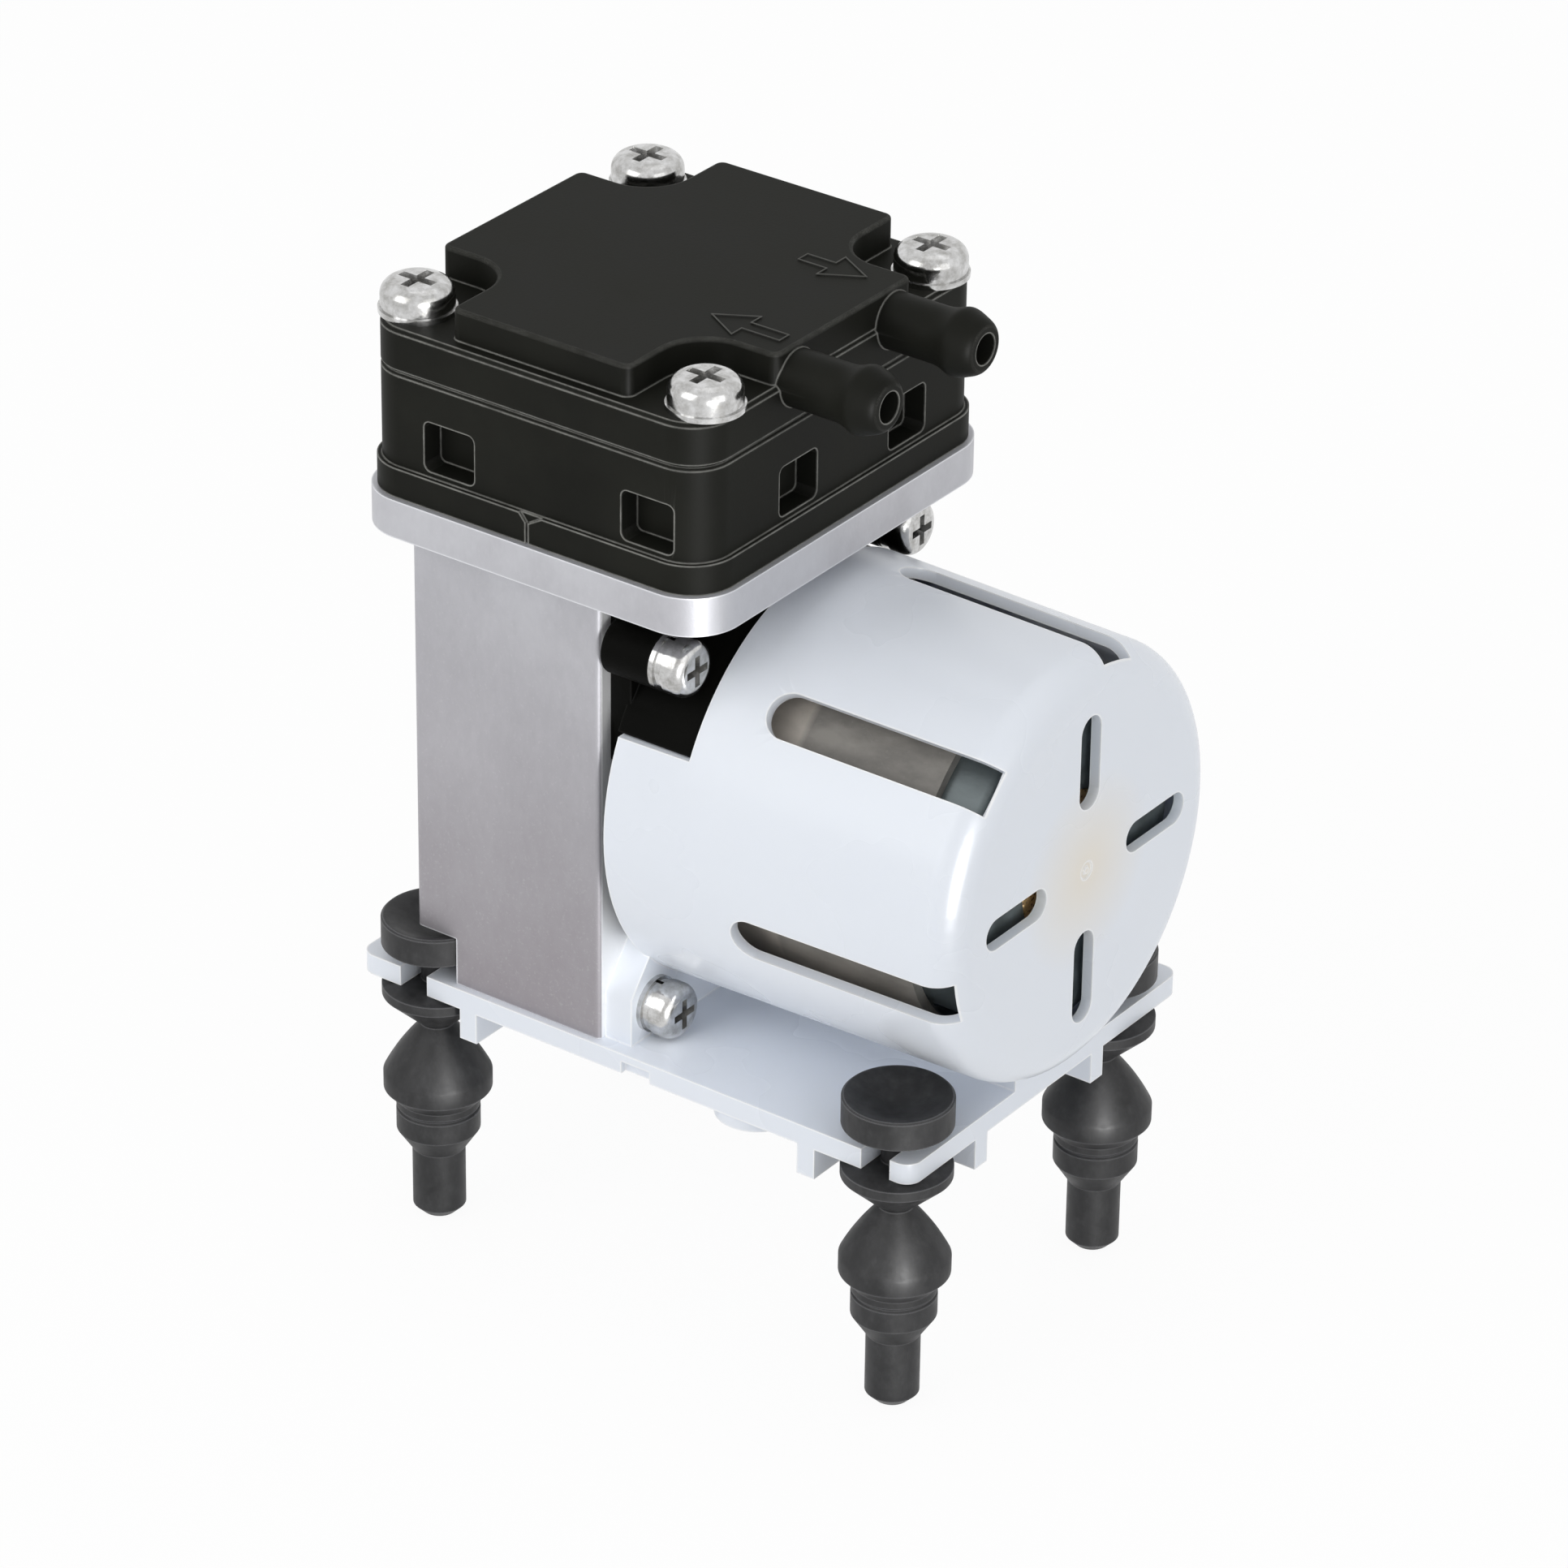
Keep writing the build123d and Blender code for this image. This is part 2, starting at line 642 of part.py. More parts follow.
with BuildPart() as head_cover:
    with BuildSketch(Plane.XY.offset(head_seam)):
        with Locations((head_x, 0)):
            head_outline()
    extrude(amount=head_rim_top - head_seam)
    chamfer(head_cover.faces().sort_by(Axis.Z)[-1].edges(), length=0.4)
    chamfer(head_cover.faces().sort_by(Axis.Z)[0].edges(), length=0.3)

    # Raised cross-shaped plateau between the four screw recesses
    with BuildSketch(Plane.XY.offset(head_rim_top)) as plateau:
        with Locations((head_x, 0)):
            Rectangle(head_length - 0.4, plateau_arm_y)
            Rectangle(plateau_arm_x, plateau_width)
        inner_corners = plateau.vertices().filter_by(
            lambda v: abs(v.X - head_x) < head_length / 2 - 1 and abs(v.Y) < plateau_width / 2 - 1
        )
        fillet(inner_corners, radius=recess_radius)
        outer_corners = plateau.vertices().filter_by(
            lambda v: abs(v.X - head_x) > head_length / 2 - 1 or abs(v.Y) > plateau_width / 2 - 1
        )
        fillet(outer_corners, radius=0.9)
    extrude(amount=head_top - head_rim_top)
    fillet(head_cover.faces().sort_by(Axis.Z)[-1].edges(), radius=0.35)

    # Tongue that presses the gasket down in the frame's pocket
    with BuildSketch(Plane.XY.offset(gasket_top)):
        with Locations((head_x, 0)):
            RectangleRounded(
                pocket_length - 2 * part_gap, pocket_width - 2 * part_gap, pocket_corner
            )
    extrude(amount=head_seam - gasket_top)

    # Hose nozzles with a rounded bulb at the end
    for side in (-1, 1):
        nozzle_plane = upright_section(nozzle_root_x - 1, side * nozzle_spacing / 2, nozzle_z)
        tip = nozzle_length + 1
        bulb_start = tip - nozzle_bulb_length
        with BuildSketch(nozzle_plane) as nozzle_section:
            with BuildLine():
                neck = Line((bulb_start - 0.6, nozzle_barrel_radius), (0, nozzle_barrel_radius))
                Line(neck @ 1, (0, 0))
                Line((0, 0), (tip, 0))
                Line((tip, 0), (tip, nozzle_bore_radius + 0.55))
                Spline(
                    (tip, nozzle_bore_radius + 0.55),
                    (tip - 1.1, nozzle_bulb_radius * 0.88),
                    (tip - nozzle_bulb_length * 0.5, nozzle_bulb_radius),
                    (bulb_start - 0.6, nozzle_barrel_radius),
                    tangents=((-0.35, 1), (-1, 0)),
                )
            make_face()
        revolve(axis=Axis(nozzle_plane.origin, (1, 0, 0)))

    # Inlet and outlet chambers, and the bores of the nozzles
    chamber_top = nozzle_z + nozzle_bore_radius
    with BuildSketch(Plane.XY.offset(gasket_top)):
        for side in (-1, 1):
            with Locations((head_x, side * valve_spacing / 2)):
                RectangleRounded(pocket_length - 8, 9.6, 2.5)
    extrude(amount=chamber_top - gasket_top, mode=Mode.SUBTRACT)
    with BuildSketch(Plane.YZ.offset(head_x + 4)):
        for side in (-1, 1):
            with Locations((side * nozzle_spacing / 2, nozzle_z)):
                Circle(nozzle_bore_radius)
    extrude(amount=nozzle_tip_x - head_x, mode=Mode.SUBTRACT)

    with BuildSketch(Plane.XY.offset(head_seam)):
        with Locations((head_x, 0)):
            with GridLocations(head_screw_spacing_x, head_screw_spacing_y, 2, 2):
                Circle(m4_radius + 0.2)
    extrude(amount=head_top - head_seam, mode=Mode.SUBTRACT)
pieces["head_cover"] = head_cover


# ---------------------------------------------------------------- screws and washers

def pan_screws(plane, spots, head_radius, head_height, shank_radius, shank_length):
    """Pan-head screws with a cross recess: heads on the plane, shanks below it."""
    recess = head_radius * 1.1
    crown_rounding = head_height * 0.55
    with BuildPart() as screws:
        with BuildSketch(plane):
            with Locations(*spots):
                Circle(head_radius)
        extrude(amount=head_height)
        crown_centre = plane.origin + plane.z_dir * head_height
        crowns = [
            edge
            for edge in screws.edges().filter_by(GeomType.CIRCLE)
            if abs((edge.arc_center - crown_centre).dot(plane.z_dir)) < 1e-4
        ]
        fillet(crowns, radius=crown_rounding)
        with BuildSketch(plane):
            with Locations(*spots):
                Circle(shank_radius)
        extrude(amount=-shank_length)
        with BuildSketch(plane.offset(head_height)):
            with Locations(*spots):
                Rectangle(recess, recess * 0.24)
                Rectangle(recess * 0.24, recess)
        extrude(amount=-head_height * 0.6, taper=10, mode=Mode.SUBTRACT)
    return screws


half_x = head_screw_spacing_x / 2
half_y = head_screw_spacing_y / 2
head_screw_seat = head_rim_top + washer_thickness
head_screws = pan_screws(
    Plane((head_x, 0, head_screw_seat), x_dir=(1, 0, 0), z_dir=(0, 0, 1)),
    [(-half_x, -half_y), (half_x, -half_y), (-half_x, half_y), (half_x, half_y)],
    m4_head_radius,
    m4_head_height,
    m4_radius,
    head_screw_seat - flange_bottom,
)
pieces["head_screws"] = head_screws

with BuildPart() as head_washers:
    with BuildSketch(Plane.XY.offset(head_rim_top)):
        with Locations((head_x, 0)):
            with GridLocations(head_screw_spacing_x, head_screw_spacing_y, 2, 2):
                Circle(m4_head_radius + 0.2)
                Circle(m4_radius + 0.1, mode=Mode.SUBTRACT)
    extrude(amount=washer_thickness)
pieces["head_washers"] = head_washers


def side_screws(seat_x, half_spacing, height):
    """Flat washers, spring washers and screws of one pair on the motor side."""
    spots = [(-half_spacing, height), (half_spacing, height)]
    seat = Plane((seat_x, 0, 0), x_dir=(0, 1, 0), z_dir=(1, 0, 0))
    stack = washer_thickness + spring_washer_thickness
    with BuildPart() as flat:
        with BuildSketch(seat):
            with Locations(*spots):
                Circle(washer_radius)
                Circle(m3_radius + 0.1, mode=Mode.SUBTRACT)
        extrude(amount=washer_thickness)
    with BuildPart() as split:
        with BuildSketch(seat.offset(washer_thickness)):
            with Locations(*spots):
                Circle(washer_radius - 0.2)
                Circle(m3_radius + 0.1, mode=Mode.SUBTRACT)
            with Locations(*[(y, z + washer_radius - 0.7) for y, z in spots]):
                Rectangle(0.4, 2.4, rotation=20, mode=Mode.SUBTRACT)
        extrude(amount=spring_washer_thickness)
    screws = pan_screws(
        seat.offset(stack),
        spots,
        m3_head_radius,
        m3_head_height,
        m3_radius,
        seat_x + stack - motor_face_x + housing_wall,
    )
    return flat, split, screws


(
    pieces["upper_flat_washers"],
    pieces["upper_spring_washers"],
    pieces["upper_screws"],
) = side_screws(boss_front, upper_screw_half_spacing, upper_screw_z)
(
    pieces["lower_flat_washers"],
    pieces["lower_spring_washers"],
    pieces["lower_screws"],
) = side_screws(ear_front, lower_screw_half_spacing, lower_screw_z)


# ---------------------------------------------------------------- motor

with BuildPart() as motor_bracket:
    # Plate behind the motor: round below, square above, with two screw bosses
    plate_head_bottom = axis_z + window_above_axis - bracket_overlap
    plate_head_top = flange_bottom - housing_blend - part_gap
    with BuildSketch(Plane.YZ.offset(motor_face_x)):
        with Locations((0, axis_z)):
            Circle(motor_can_radius - bracket_edge_inset)
        with Locations((0, (plate_head_bottom + plate_head_top) / 2)):
            Rectangle(2 * bracket_half_width, plate_head_top - plate_head_bottom)
        with Locations((0, axis_z)):
            Circle(bearing_boss_radius + part_gap, mode=Mode.SUBTRACT)
    extrude(amount=cover_standoff)
    with BuildSketch(Plane.YZ.offset(bracket_front - bracket_boss_root)):
        with Locations(
            (-upper_screw_half_spacing, upper_screw_z),
            (upper_screw_half_spacing, upper_screw_z),
        ):
            Circle(washer_radius)
    extrude(amount=bracket_boss_root + bracket_boss_length)
    # Arch over the front of the motor, which fills the cover's window
    arch_radius = cover_radius(cover_back + window_length) - window_arch_inset
    arch_sill = axis_z + window_above_axis + part_gap
    with BuildSketch(Plane.YZ.offset(bracket_front - window_arch_root)):
        with Locations((0, axis_z)):
            Circle(arch_radius)
            Circle(motor_can_radius + flux_ring_thickness + part_gap, mode=Mode.SUBTRACT)
        with Locations((0, arch_sill - arch_radius)):
            Rectangle(2 * arch_radius + 2, 2 * arch_radius, mode=Mode.SUBTRACT)
    extrude(amount=window_arch_root + window_length - part_gap)
    with BuildSketch(Plane.YZ.offset(motor_face_x)):
        with Locations(
            (-upper_screw_half_spacing, upper_screw_z),
            (upper_screw_half_spacing, upper_screw_z),
        ):
            Circle(m3_radius + 0.15)
        with Locations((0, axis_z)):
            with PolarLocations(bracket_screw_spacing, 2):
                Circle(bracket_screw_radius)
    extrude(amount=cover_standoff + bracket_boss_length, mode=Mode.SUBTRACT)
    with BuildSketch(Plane.YZ.offset(motor_face_x)):
        with Locations((0, axis_z)):
            with PolarLocations(bracket_screw_spacing, 2):
                Circle(bracket_screw_head + 0.15)
    extrude(amount=bracket_screw_depth, mode=Mode.SUBTRACT)
pieces["motor_bracket"] = motor_bracket

with BuildPart() as motor_can:
    with BuildSketch(Plane.YZ.offset(bracket_front)):
        with Locations((0, axis_z)):
            Circle(motor_can_radius)
    extrude(amount=motor_can_length)
    fillet(motor_can.edges().sort_by(Axis.X)[0], radius=1.0)
    with BuildSketch(Plane.YZ.offset(bracket_front + motor_can_wall)):
        with Locations((0, axis_z)):
            Circle(motor_can_radius - motor_can_wall)
    extrude(amount=motor_can_length - motor_can_wall, mode=Mode.SUBTRACT)
    # Boss that passes through the bracket into the housing and holds the front bearing
    with BuildSketch(Plane.YZ.offset(motor_face_x - housing_wall)):
        with Locations((0, axis_z)):
            Circle(bearing_boss_radius)
            Circle(bearing_radius, mode=Mode.SUBTRACT)
    extrude(amount=housing_wall + cover_standoff + motor_can_wall)
    with BuildSketch(Plane.YZ.offset(bracket_front)):
        with Locations((0, axis_z)):
            Circle(bearing_radius)
            with PolarLocations(bracket_screw_spacing, 2):
                Circle(bracket_screw_radius)
    extrude(amount=motor_can_wall, mode=Mode.SUBTRACT)
pieces["motor_can"] = motor_can

bracket_screws = pan_screws(
    Plane((motor_face_x + bracket_screw_depth, 0, 0), x_dir=(0, 1, 0), z_dir=(-1, 0, 0)),
    [(bracket_screw_spacing, -axis_z), (-bracket_screw_spacing, -axis_z)],
    bracket_screw_head,
    bracket_screw_depth - 0.2,
    bracket_screw_radius,
    cover_standoff - bracket_screw_depth + motor_can_wall,
)
pieces["bracket_screws"] = bracket_screws

with BuildPart() as flux_ring:
    with BuildSketch(Plane.YZ.offset(bracket_front + flux_ring_start)):
        with Locations((0, axis_z)):
            Circle(motor_can_radius + flux_ring_thickness)
            Circle(motor_can_radius, mode=Mode.SUBTRACT)
            with Locations((0, -motor_can_radius)):
                Rectangle(flux_ring_slit, 4 * flux_ring_thickness, mode=Mode.SUBTRACT)
    extrude(amount=motor_can_length - flux_ring_start - flux_ring_end)
pieces["flux_ring"] = flux_ring

with BuildPart() as motor_end_cap:
    with BuildSketch(Plane.YZ.offset(can_end)):
        with Locations((0, axis_z)):
            Circle(motor_can_radius)
    extrude(amount=end_cap_length)
    fillet(motor_end_cap.edges().sort_by(Axis.X)[-1], radius=1.4)
    with BuildSketch(Plane.YZ.offset(can_end)):
        with Locations((0, axis_z)):
            Circle(motor_can_radius - 1.6)
    extrude(amount=end_cap_length - 1.6, mode=Mode.SUBTRACT)
    with BuildSketch(Plane.YZ.offset(can_end)):
        with Locations((0, axis_z)):
            Circle(rear_boss_radius)
    extrude(amount=end_cap_length)
    with BuildSketch(Plane.YZ.offset(can_end)):
        with Locations((0, axis_z)):
            Circle(rear_bearing_radius)
    extrude(amount=end_cap_length, mode=Mode.SUBTRACT)
    # Vents between the spokes of the end cap
    with BuildSketch(Plane.YZ.offset(can_end)):
        with Locations((0, axis_z)):
            with PolarLocations(motor_can_radius, 6, start_angle=45):
                SlotOverall(7, 2.6, rotation=90)
    extrude(amount=end_cap_length - 1.0, mode=Mode.SUBTRACT)
pieces["motor_end_cap"] = motor_end_cap

for name, start_x, length, radius in (
    ("front_bearing", motor_face_x - housing_wall, housing_wall + cover_standoff, bearing_radius),
    ("rear_bearing", can_end, end_cap_length, rear_bearing_radius),
):
    with BuildPart() as bearing:
        with BuildSketch(Plane.YZ.offset(start_x)):
            with Locations((0, axis_z)):
                Circle(radius)
                Circle(shaft_bore_radius, mode=Mode.SUBTRACT)
        extrude(amount=length)
        chamfer(bearing.edges().filter_by(GeomType.CIRCLE), length=0.2)
    pieces[name] = bearing

magnet_outer = motor_can_radius - motor_can_wall
magnet_inner = magnet_outer - magnet_thickness
core_radius = magnet_inner - magnet_air_gap
core_front = bracket_front + 8.0
core_length = 15.0
with BuildPart() as motor_magnets:
    with BuildSketch(Plane.YZ.offset(core_front - 1.5)):
        with Locations((0, axis_z)):
            Circle(magnet_outer)
            Circle(magnet_inner, mode=Mode.SUBTRACT)
            Rectangle(2 * magnet_outer, 9.0, mode=Mode.SUBTRACT)
    extrude(amount=core_length + 3)
pieces["motor_magnets"] = motor_magnets

with BuildPart() as motor_shaft:
    with BuildSketch(Plane.YZ.offset(crank_hub_back)):
        with Locations((0, axis_z)):
            Circle(shaft_radius)
    extrude(amount=cap_end - 0.6 - crank_hub_back)
    chamfer(motor_shaft.edges().filter_by(GeomType.CIRCLE), length=0.25)
pieces["motor_shaft"] = motor_shaft

with BuildPart() as armature_core:
    with BuildSketch(Plane.YZ.offset(core_front)):
        with Locations((0, axis_z)):
            Circle(core_radius)
            Circle(shaft_radius, mode=Mode.SUBTRACT)
            with PolarLocations(core_radius - 3.2, 5):
                SlotOverall(4.4, 3.4, rotation=90, mode=Mode.SUBTRACT)
            with PolarLocations(core_radius, 5):
                Rectangle(3.6, 1.0, mode=Mode.SUBTRACT)
    extrude(amount=core_length)
pieces["armature_core"] = armature_core

with BuildPart() as armature_windings:
    for start_x in (core_front - 3.2, core_front + core_length):
        with BuildSketch(Plane.YZ.offset(start_x)):
            with Locations((0, axis_z)):
                Circle(core_radius - 1.4)
                Circle(shaft_radius + 1.2, mode=Mode.SUBTRACT)
        extrude(amount=3.2)
    with BuildSketch(Plane.YZ.offset(core_front)):
        with Locations((0, axis_z)):
            with PolarLocations(core_radius - 3.2, 5):
                SlotOverall(4.0, 3.0, rotation=90)
    extrude(amount=core_length)
pieces["armature_windings"] = armature_windings

commutator_front = core_front + core_length + 3.2
commutator_radius = 4.0
with BuildPart() as commutator:
    with BuildSketch(Plane.YZ.offset(commutator_front)):
        with Locations((0, axis_z)):
            Circle(commutator_radius)
            Circle(shaft_radius, mode=Mode.SUBTRACT)
            with PolarLocations(commutator_radius, 5):
                Rectangle(1.6, 0.35, mode=Mode.SUBTRACT)
    extrude(amount=can_end - 0.6 - commutator_front)
pieces["commutator"] = commutator

with BuildPart() as brush_holder:
    with BuildSketch(Plane.YZ.offset(can_end - 2.2)):
        with Locations((0, axis_z)):
            Circle(motor_can_radius - motor_can_wall)
            Circle(commutator_radius + 2.4, mode=Mode.SUBTRACT)
            Rectangle(2 * (commutator_radius + 7.2), 3.2, mode=Mode.SUBTRACT)
    extrude(amount=2.2)
pieces["brush_holder"] = brush_holder

with BuildPart() as brushes:
    with BuildSketch(Plane.YZ.offset(can_end - 2.2)):
        for side in (-1, 1):
            with Locations((side * (commutator_radius + 0.3 + 3.4), axis_z)):
                Rectangle(6.8, 3.0)
    extrude(amount=2.2)
pieces["brushes"] = brushes


# ---------------------------------------------------------------- crank and rod

with BuildPart() as eccentric:
    # Journal set off from the shaft, with a shoulder, hub and counterweight behind it
    with BuildSketch(Plane.YZ.offset(journal_back)):
        with Locations((0, crank_z)):
            Circle(journal_radius)
    extrude(amount=ball_bearing_width)
    with BuildSketch(Plane.YZ.offset(crank_shoulder_x)):
        with Locations((0, crank_z)):
            Circle(journal_radius + 0.7)
    extrude(amount=rod_side_gap)
    with BuildSketch(Plane.YZ.offset(crank_shoulder_x)):
        with Locations((0, axis_z)):
            Circle(counterweight_radius)
            with Locations((0, -counterweight_radius)):
                Rectangle(
                    2 * counterweight_radius + 1,
                    2 * counterweight_radius,
                    mode=Mode.SUBTRACT,
                )
            Circle(journal_radius + 1.2)
    extrude(amount=-counterweight_thickness)
    with BuildSketch(Plane.YZ.offset(crank_hub_front)):
        with Locations((0, axis_z)):
            Circle(journal_radius + 1.2)
    extrude(amount=-crank_hub_length)
    with BuildSketch(Plane.YZ.offset(journal_front)):
        with Locations((0, axis_z)):
            Circle(shaft_radius)
    extrude(amount=crank_hub_back - journal_front, mode=Mode.SUBTRACT)
    # Tapped hole for the set screw
    with BuildSketch(Plane.XY.offset(axis_z)):
        with Locations((crank_hub_back + 1.7, 0)):
            Circle(1.0)
    extrude(amount=journal_radius + 3, mode=Mode.SUBTRACT)
pieces["eccentric"] = eccentric

with BuildPart() as set_screw:
    with BuildSketch(Plane.XY.offset(axis_z + shaft_radius + 0.15)):
        with Locations((crank_hub_back + 1.7, 0)):
            Circle(1.0)
    extrude(amount=3.0)
    with BuildSketch(Plane.XY.offset(axis_z + shaft_radius + 3.15)):
        with Locations((crank_hub_back + 1.7, 0)):
            RegularPolygon(0.55, 6)
    extrude(amount=-1.2, mode=Mode.SUBTRACT)
pieces["set_screw"] = set_screw

inner_race = journal_radius + 1.2
outer_race = ball_bearing_radius - 1.2
ball_pitch = (inner_race + outer_race) / 2
with BuildPart() as bearing_inner_ring:
    with BuildSketch(Plane.YZ.offset(journal_back)):
        with Locations((0, crank_z)):
            Circle(inner_race)
            Circle(journal_radius, mode=Mode.SUBTRACT)
    extrude(amount=ball_bearing_width)
pieces["bearing_inner_ring"] = bearing_inner_ring

with BuildPart() as bearing_outer_ring:
    with BuildSketch(Plane.YZ.offset(journal_back)):
        with Locations((0, crank_z)):
            Circle(ball_bearing_radius)
            Circle(outer_race, mode=Mode.SUBTRACT)
    extrude(amount=ball_bearing_width)
pieces["bearing_outer_ring"] = bearing_outer_ring

with BuildPart() as bearing_balls:
    ball_count = 11
    for index in range(ball_count):
        angle = radians(360 * index / ball_count)
        with Locations(
            (head_x, ball_pitch * cos(angle), crank_z + ball_pitch * sin(angle))
        ):
            Sphere((outer_race - inner_race) / 2 - 0.05)
pieces["bearing_balls"] = bearing_balls

with BuildPart() as connecting_rod:
    with BuildSketch(Plane.YZ.offset(head_x - rod_thickness / 2)):
        with Locations((0, crank_z)):
            Circle(rod_eye_radius)
        with Locations((0, (crank_z + rod_top) / 2)):
            Rectangle(rod_stem_width, rod_top - crank_z)
        with Locations((0, crank_z)):
            Circle(ball_bearing_radius, mode=Mode.SUBTRACT)
    extrude(amount=rod_thickness)
    with BuildSketch(Plane.XY.offset(rod_top)):
        with Locations((head_x, 0)):
            Circle(rod_stem_width * 0.85)
    extrude(amount=-2.4)
    with BuildSketch(Plane.XY.offset(rod_top)):
        with Locations((head_x, 0)):
            Circle(m3_radius)
    extrude(amount=-7, mode=Mode.SUBTRACT)
pieces["connecting_rod"] = connecting_rod

with BuildPart() as support_plate:
    with BuildSketch(Plane.XY.offset(rod_top)):
        with Locations((head_x, 0)):
            Circle(support_plate_radius)
            Circle(m3_radius, mode=Mode.SUBTRACT)
    extrude(amount=support_plate_thickness)
    fillet(support_plate.edges().filter_by(GeomType.CIRCLE).group_by(Axis.Z)[-1].sort_by(
        SortBy.LENGTH)[-1], radius=0.7)
pieces["support_plate"] = support_plate

retainer_bottom = diaphragm_centre + diaphragm_thickness
retainer_top = retainer_bottom + retainer_thickness
with BuildPart() as retainer_plate:
    with BuildSketch(Plane.XY.offset(retainer_bottom)):
        with Locations((head_x, 0)):
            Circle(retainer_radius)
    extrude(amount=retainer_thickness)
    fillet(retainer_plate.edges().group_by(Axis.Z)[0], radius=0.4)
    with BuildSketch(Plane.XY.offset(retainer_bottom)):
        with Locations((head_x, 0)):
            Circle(m3_radius)
    extrude(amount=retainer_thickness, mode=Mode.SUBTRACT)
    chamfer(
        retainer_plate.edges().group_by(Axis.Z)[-1].sort_by(SortBy.LENGTH)[0],
        length=retainer_thickness * 0.9,
    )
pieces["retainer_plate"] = retainer_plate

with BuildPart() as retainer_screw:
    with BuildSketch(upright_section(head_x, 0, retainer_top)):
        with BuildLine():
            Polyline(
                (0, 0),
                (m3_radius + retainer_thickness * 0.9, 0),
                (m3_radius, -retainer_thickness * 0.9),
                (m3_radius, rod_top - retainer_top - 6.5),
                (0, rod_top - retainer_top - 6.5),
                close=True,
            )
        make_face()
    revolve(axis=Axis((head_x, 0, 0), (0, 0, 1)))
    with BuildSketch(Plane.XY.offset(retainer_top)):
        with Locations((head_x, 0)):
            Rectangle(2.6, 0.6)
            Rectangle(0.6, 2.6)
    extrude(amount=-0.7, mode=Mode.SUBTRACT)
pieces["retainer_screw"] = retainer_screw

with BuildPart() as diaphragm:
    rim_inner = diaphragm_opening_radius - 0.3
    disc_outer = support_plate_radius + 0.4
    with BuildSketch(upright_section(head_x, 0, flange_top)):
        with BuildLine():
            Polyline(
                (m3_radius + 0.3, disc_drop),
                (disc_outer, disc_drop),
                (rim_inner, 0),
                (diaphragm_radius, 0),
                (diaphragm_radius, diaphragm_thickness),
                (rim_inner, diaphragm_thickness),
                (disc_outer, disc_drop + diaphragm_thickness),
                (m3_radius + 0.3, disc_drop + diaphragm_thickness),
                close=True,
            )
        make_face()
    revolve(axis=Axis((head_x, 0, 0), (0, 0, 1)))
pieces["diaphragm"] = diaphragm


# ---------------------------------------------------------------- feet

foot_step_bottom = foot_stem_length + foot_shoulder_height
foot_band_bottom = foot_step_bottom + foot_step_height + foot_undercut_height
foot_band_top = foot_band_bottom + foot_band_height
foot_groove_z = foot_step_bottom + foot_step_height - foot_groove_from_top
foot_waist_z = plate_bottom - foot_flare_height
foot_cap_bottom = plate_top + foot_cap_rise
foot_cap_top = foot_cap_bottom + foot_cap_rim

for name, spot in foot_spots.items():
    with BuildPart() as foot:
        with BuildSketch(Plane.XZ) as foot_section:
            with BuildLine():
                Polyline(
                    (0, 0),
                    (foot_stem_radius - foot_stem_chamfer, 0),
                    (foot_stem_radius, foot_stem_chamfer),
                    (foot_stem_radius, foot_stem_length),
                    (foot_step_radius, foot_step_bottom),
                    (foot_step_radius, foot_groove_z - foot_groove_depth),
                    (foot_step_radius - foot_groove_depth, foot_groove_z),
                    (foot_step_radius, foot_groove_z + foot_groove_depth),
                    (foot_step_radius, foot_step_bottom + foot_step_height),
                    (foot_disc_radius, foot_band_bottom),
                    (foot_disc_radius, foot_band_top),
                )
                # Bell: a cone from the crisp rim, slightly crowned, in to the waist
                ThreePointArc(
                    (foot_disc_radius, foot_band_top),
                    (
                        (foot_disc_radius + foot_waist_radius) / 2 + foot_bell_crown,
                        (foot_band_top + foot_waist_z) / 2 + foot_bell_crown,
                    ),
                    (foot_waist_radius, foot_waist_z),
                )
                ThreePointArc(
                    (foot_waist_radius, foot_waist_z),
                    (foot_waist_radius + 0.3, foot_waist_z + 0.4),
                    (foot_waist_radius + 0.75, foot_waist_z + 0.75),
                )
                Polyline(
                    (foot_waist_radius + 0.75, foot_waist_z + 0.75),
                    (foot_disc_radius, plate_bottom - foot_flare_rim),
                    (foot_disc_radius, plate_bottom - foot_rim_gap),
                    (foot_disc_radius - 1.2, plate_bottom),
                    (foot_neck_radius, plate_bottom),
                    (foot_neck_radius, plate_top),
                    (foot_disc_radius * 0.6, plate_top + foot_cap_rise * 0.45),
                    (foot_disc_radius, foot_cap_bottom),
                    (foot_disc_radius, foot_cap_top - foot_cap_chamfer),
                    (foot_disc_radius - foot_cap_chamfer, foot_cap_top),
                    (foot_disc_radius - foot_cap_wall, foot_cap_top),
                    (foot_neck_radius * 0.5, foot_cap_top - foot_dish_depth),
                    (0, foot_cap_top - foot_dish_depth),
                    (0, 0),
                )
            make_face()
        revolve(axis=Axis.Z)
    foot.part.locate(Location((spot[0], spot[1], 0)))
    pieces[name] = foot


# ---------------------------------------------------------------- output

for name, piece in pieces.items():
    piece.part.label = name
    export_step(piece.part, f"parts/{name}.step")
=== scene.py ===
import bpy
import json
from math import pi, radians
from mathutils import Matrix, Vector


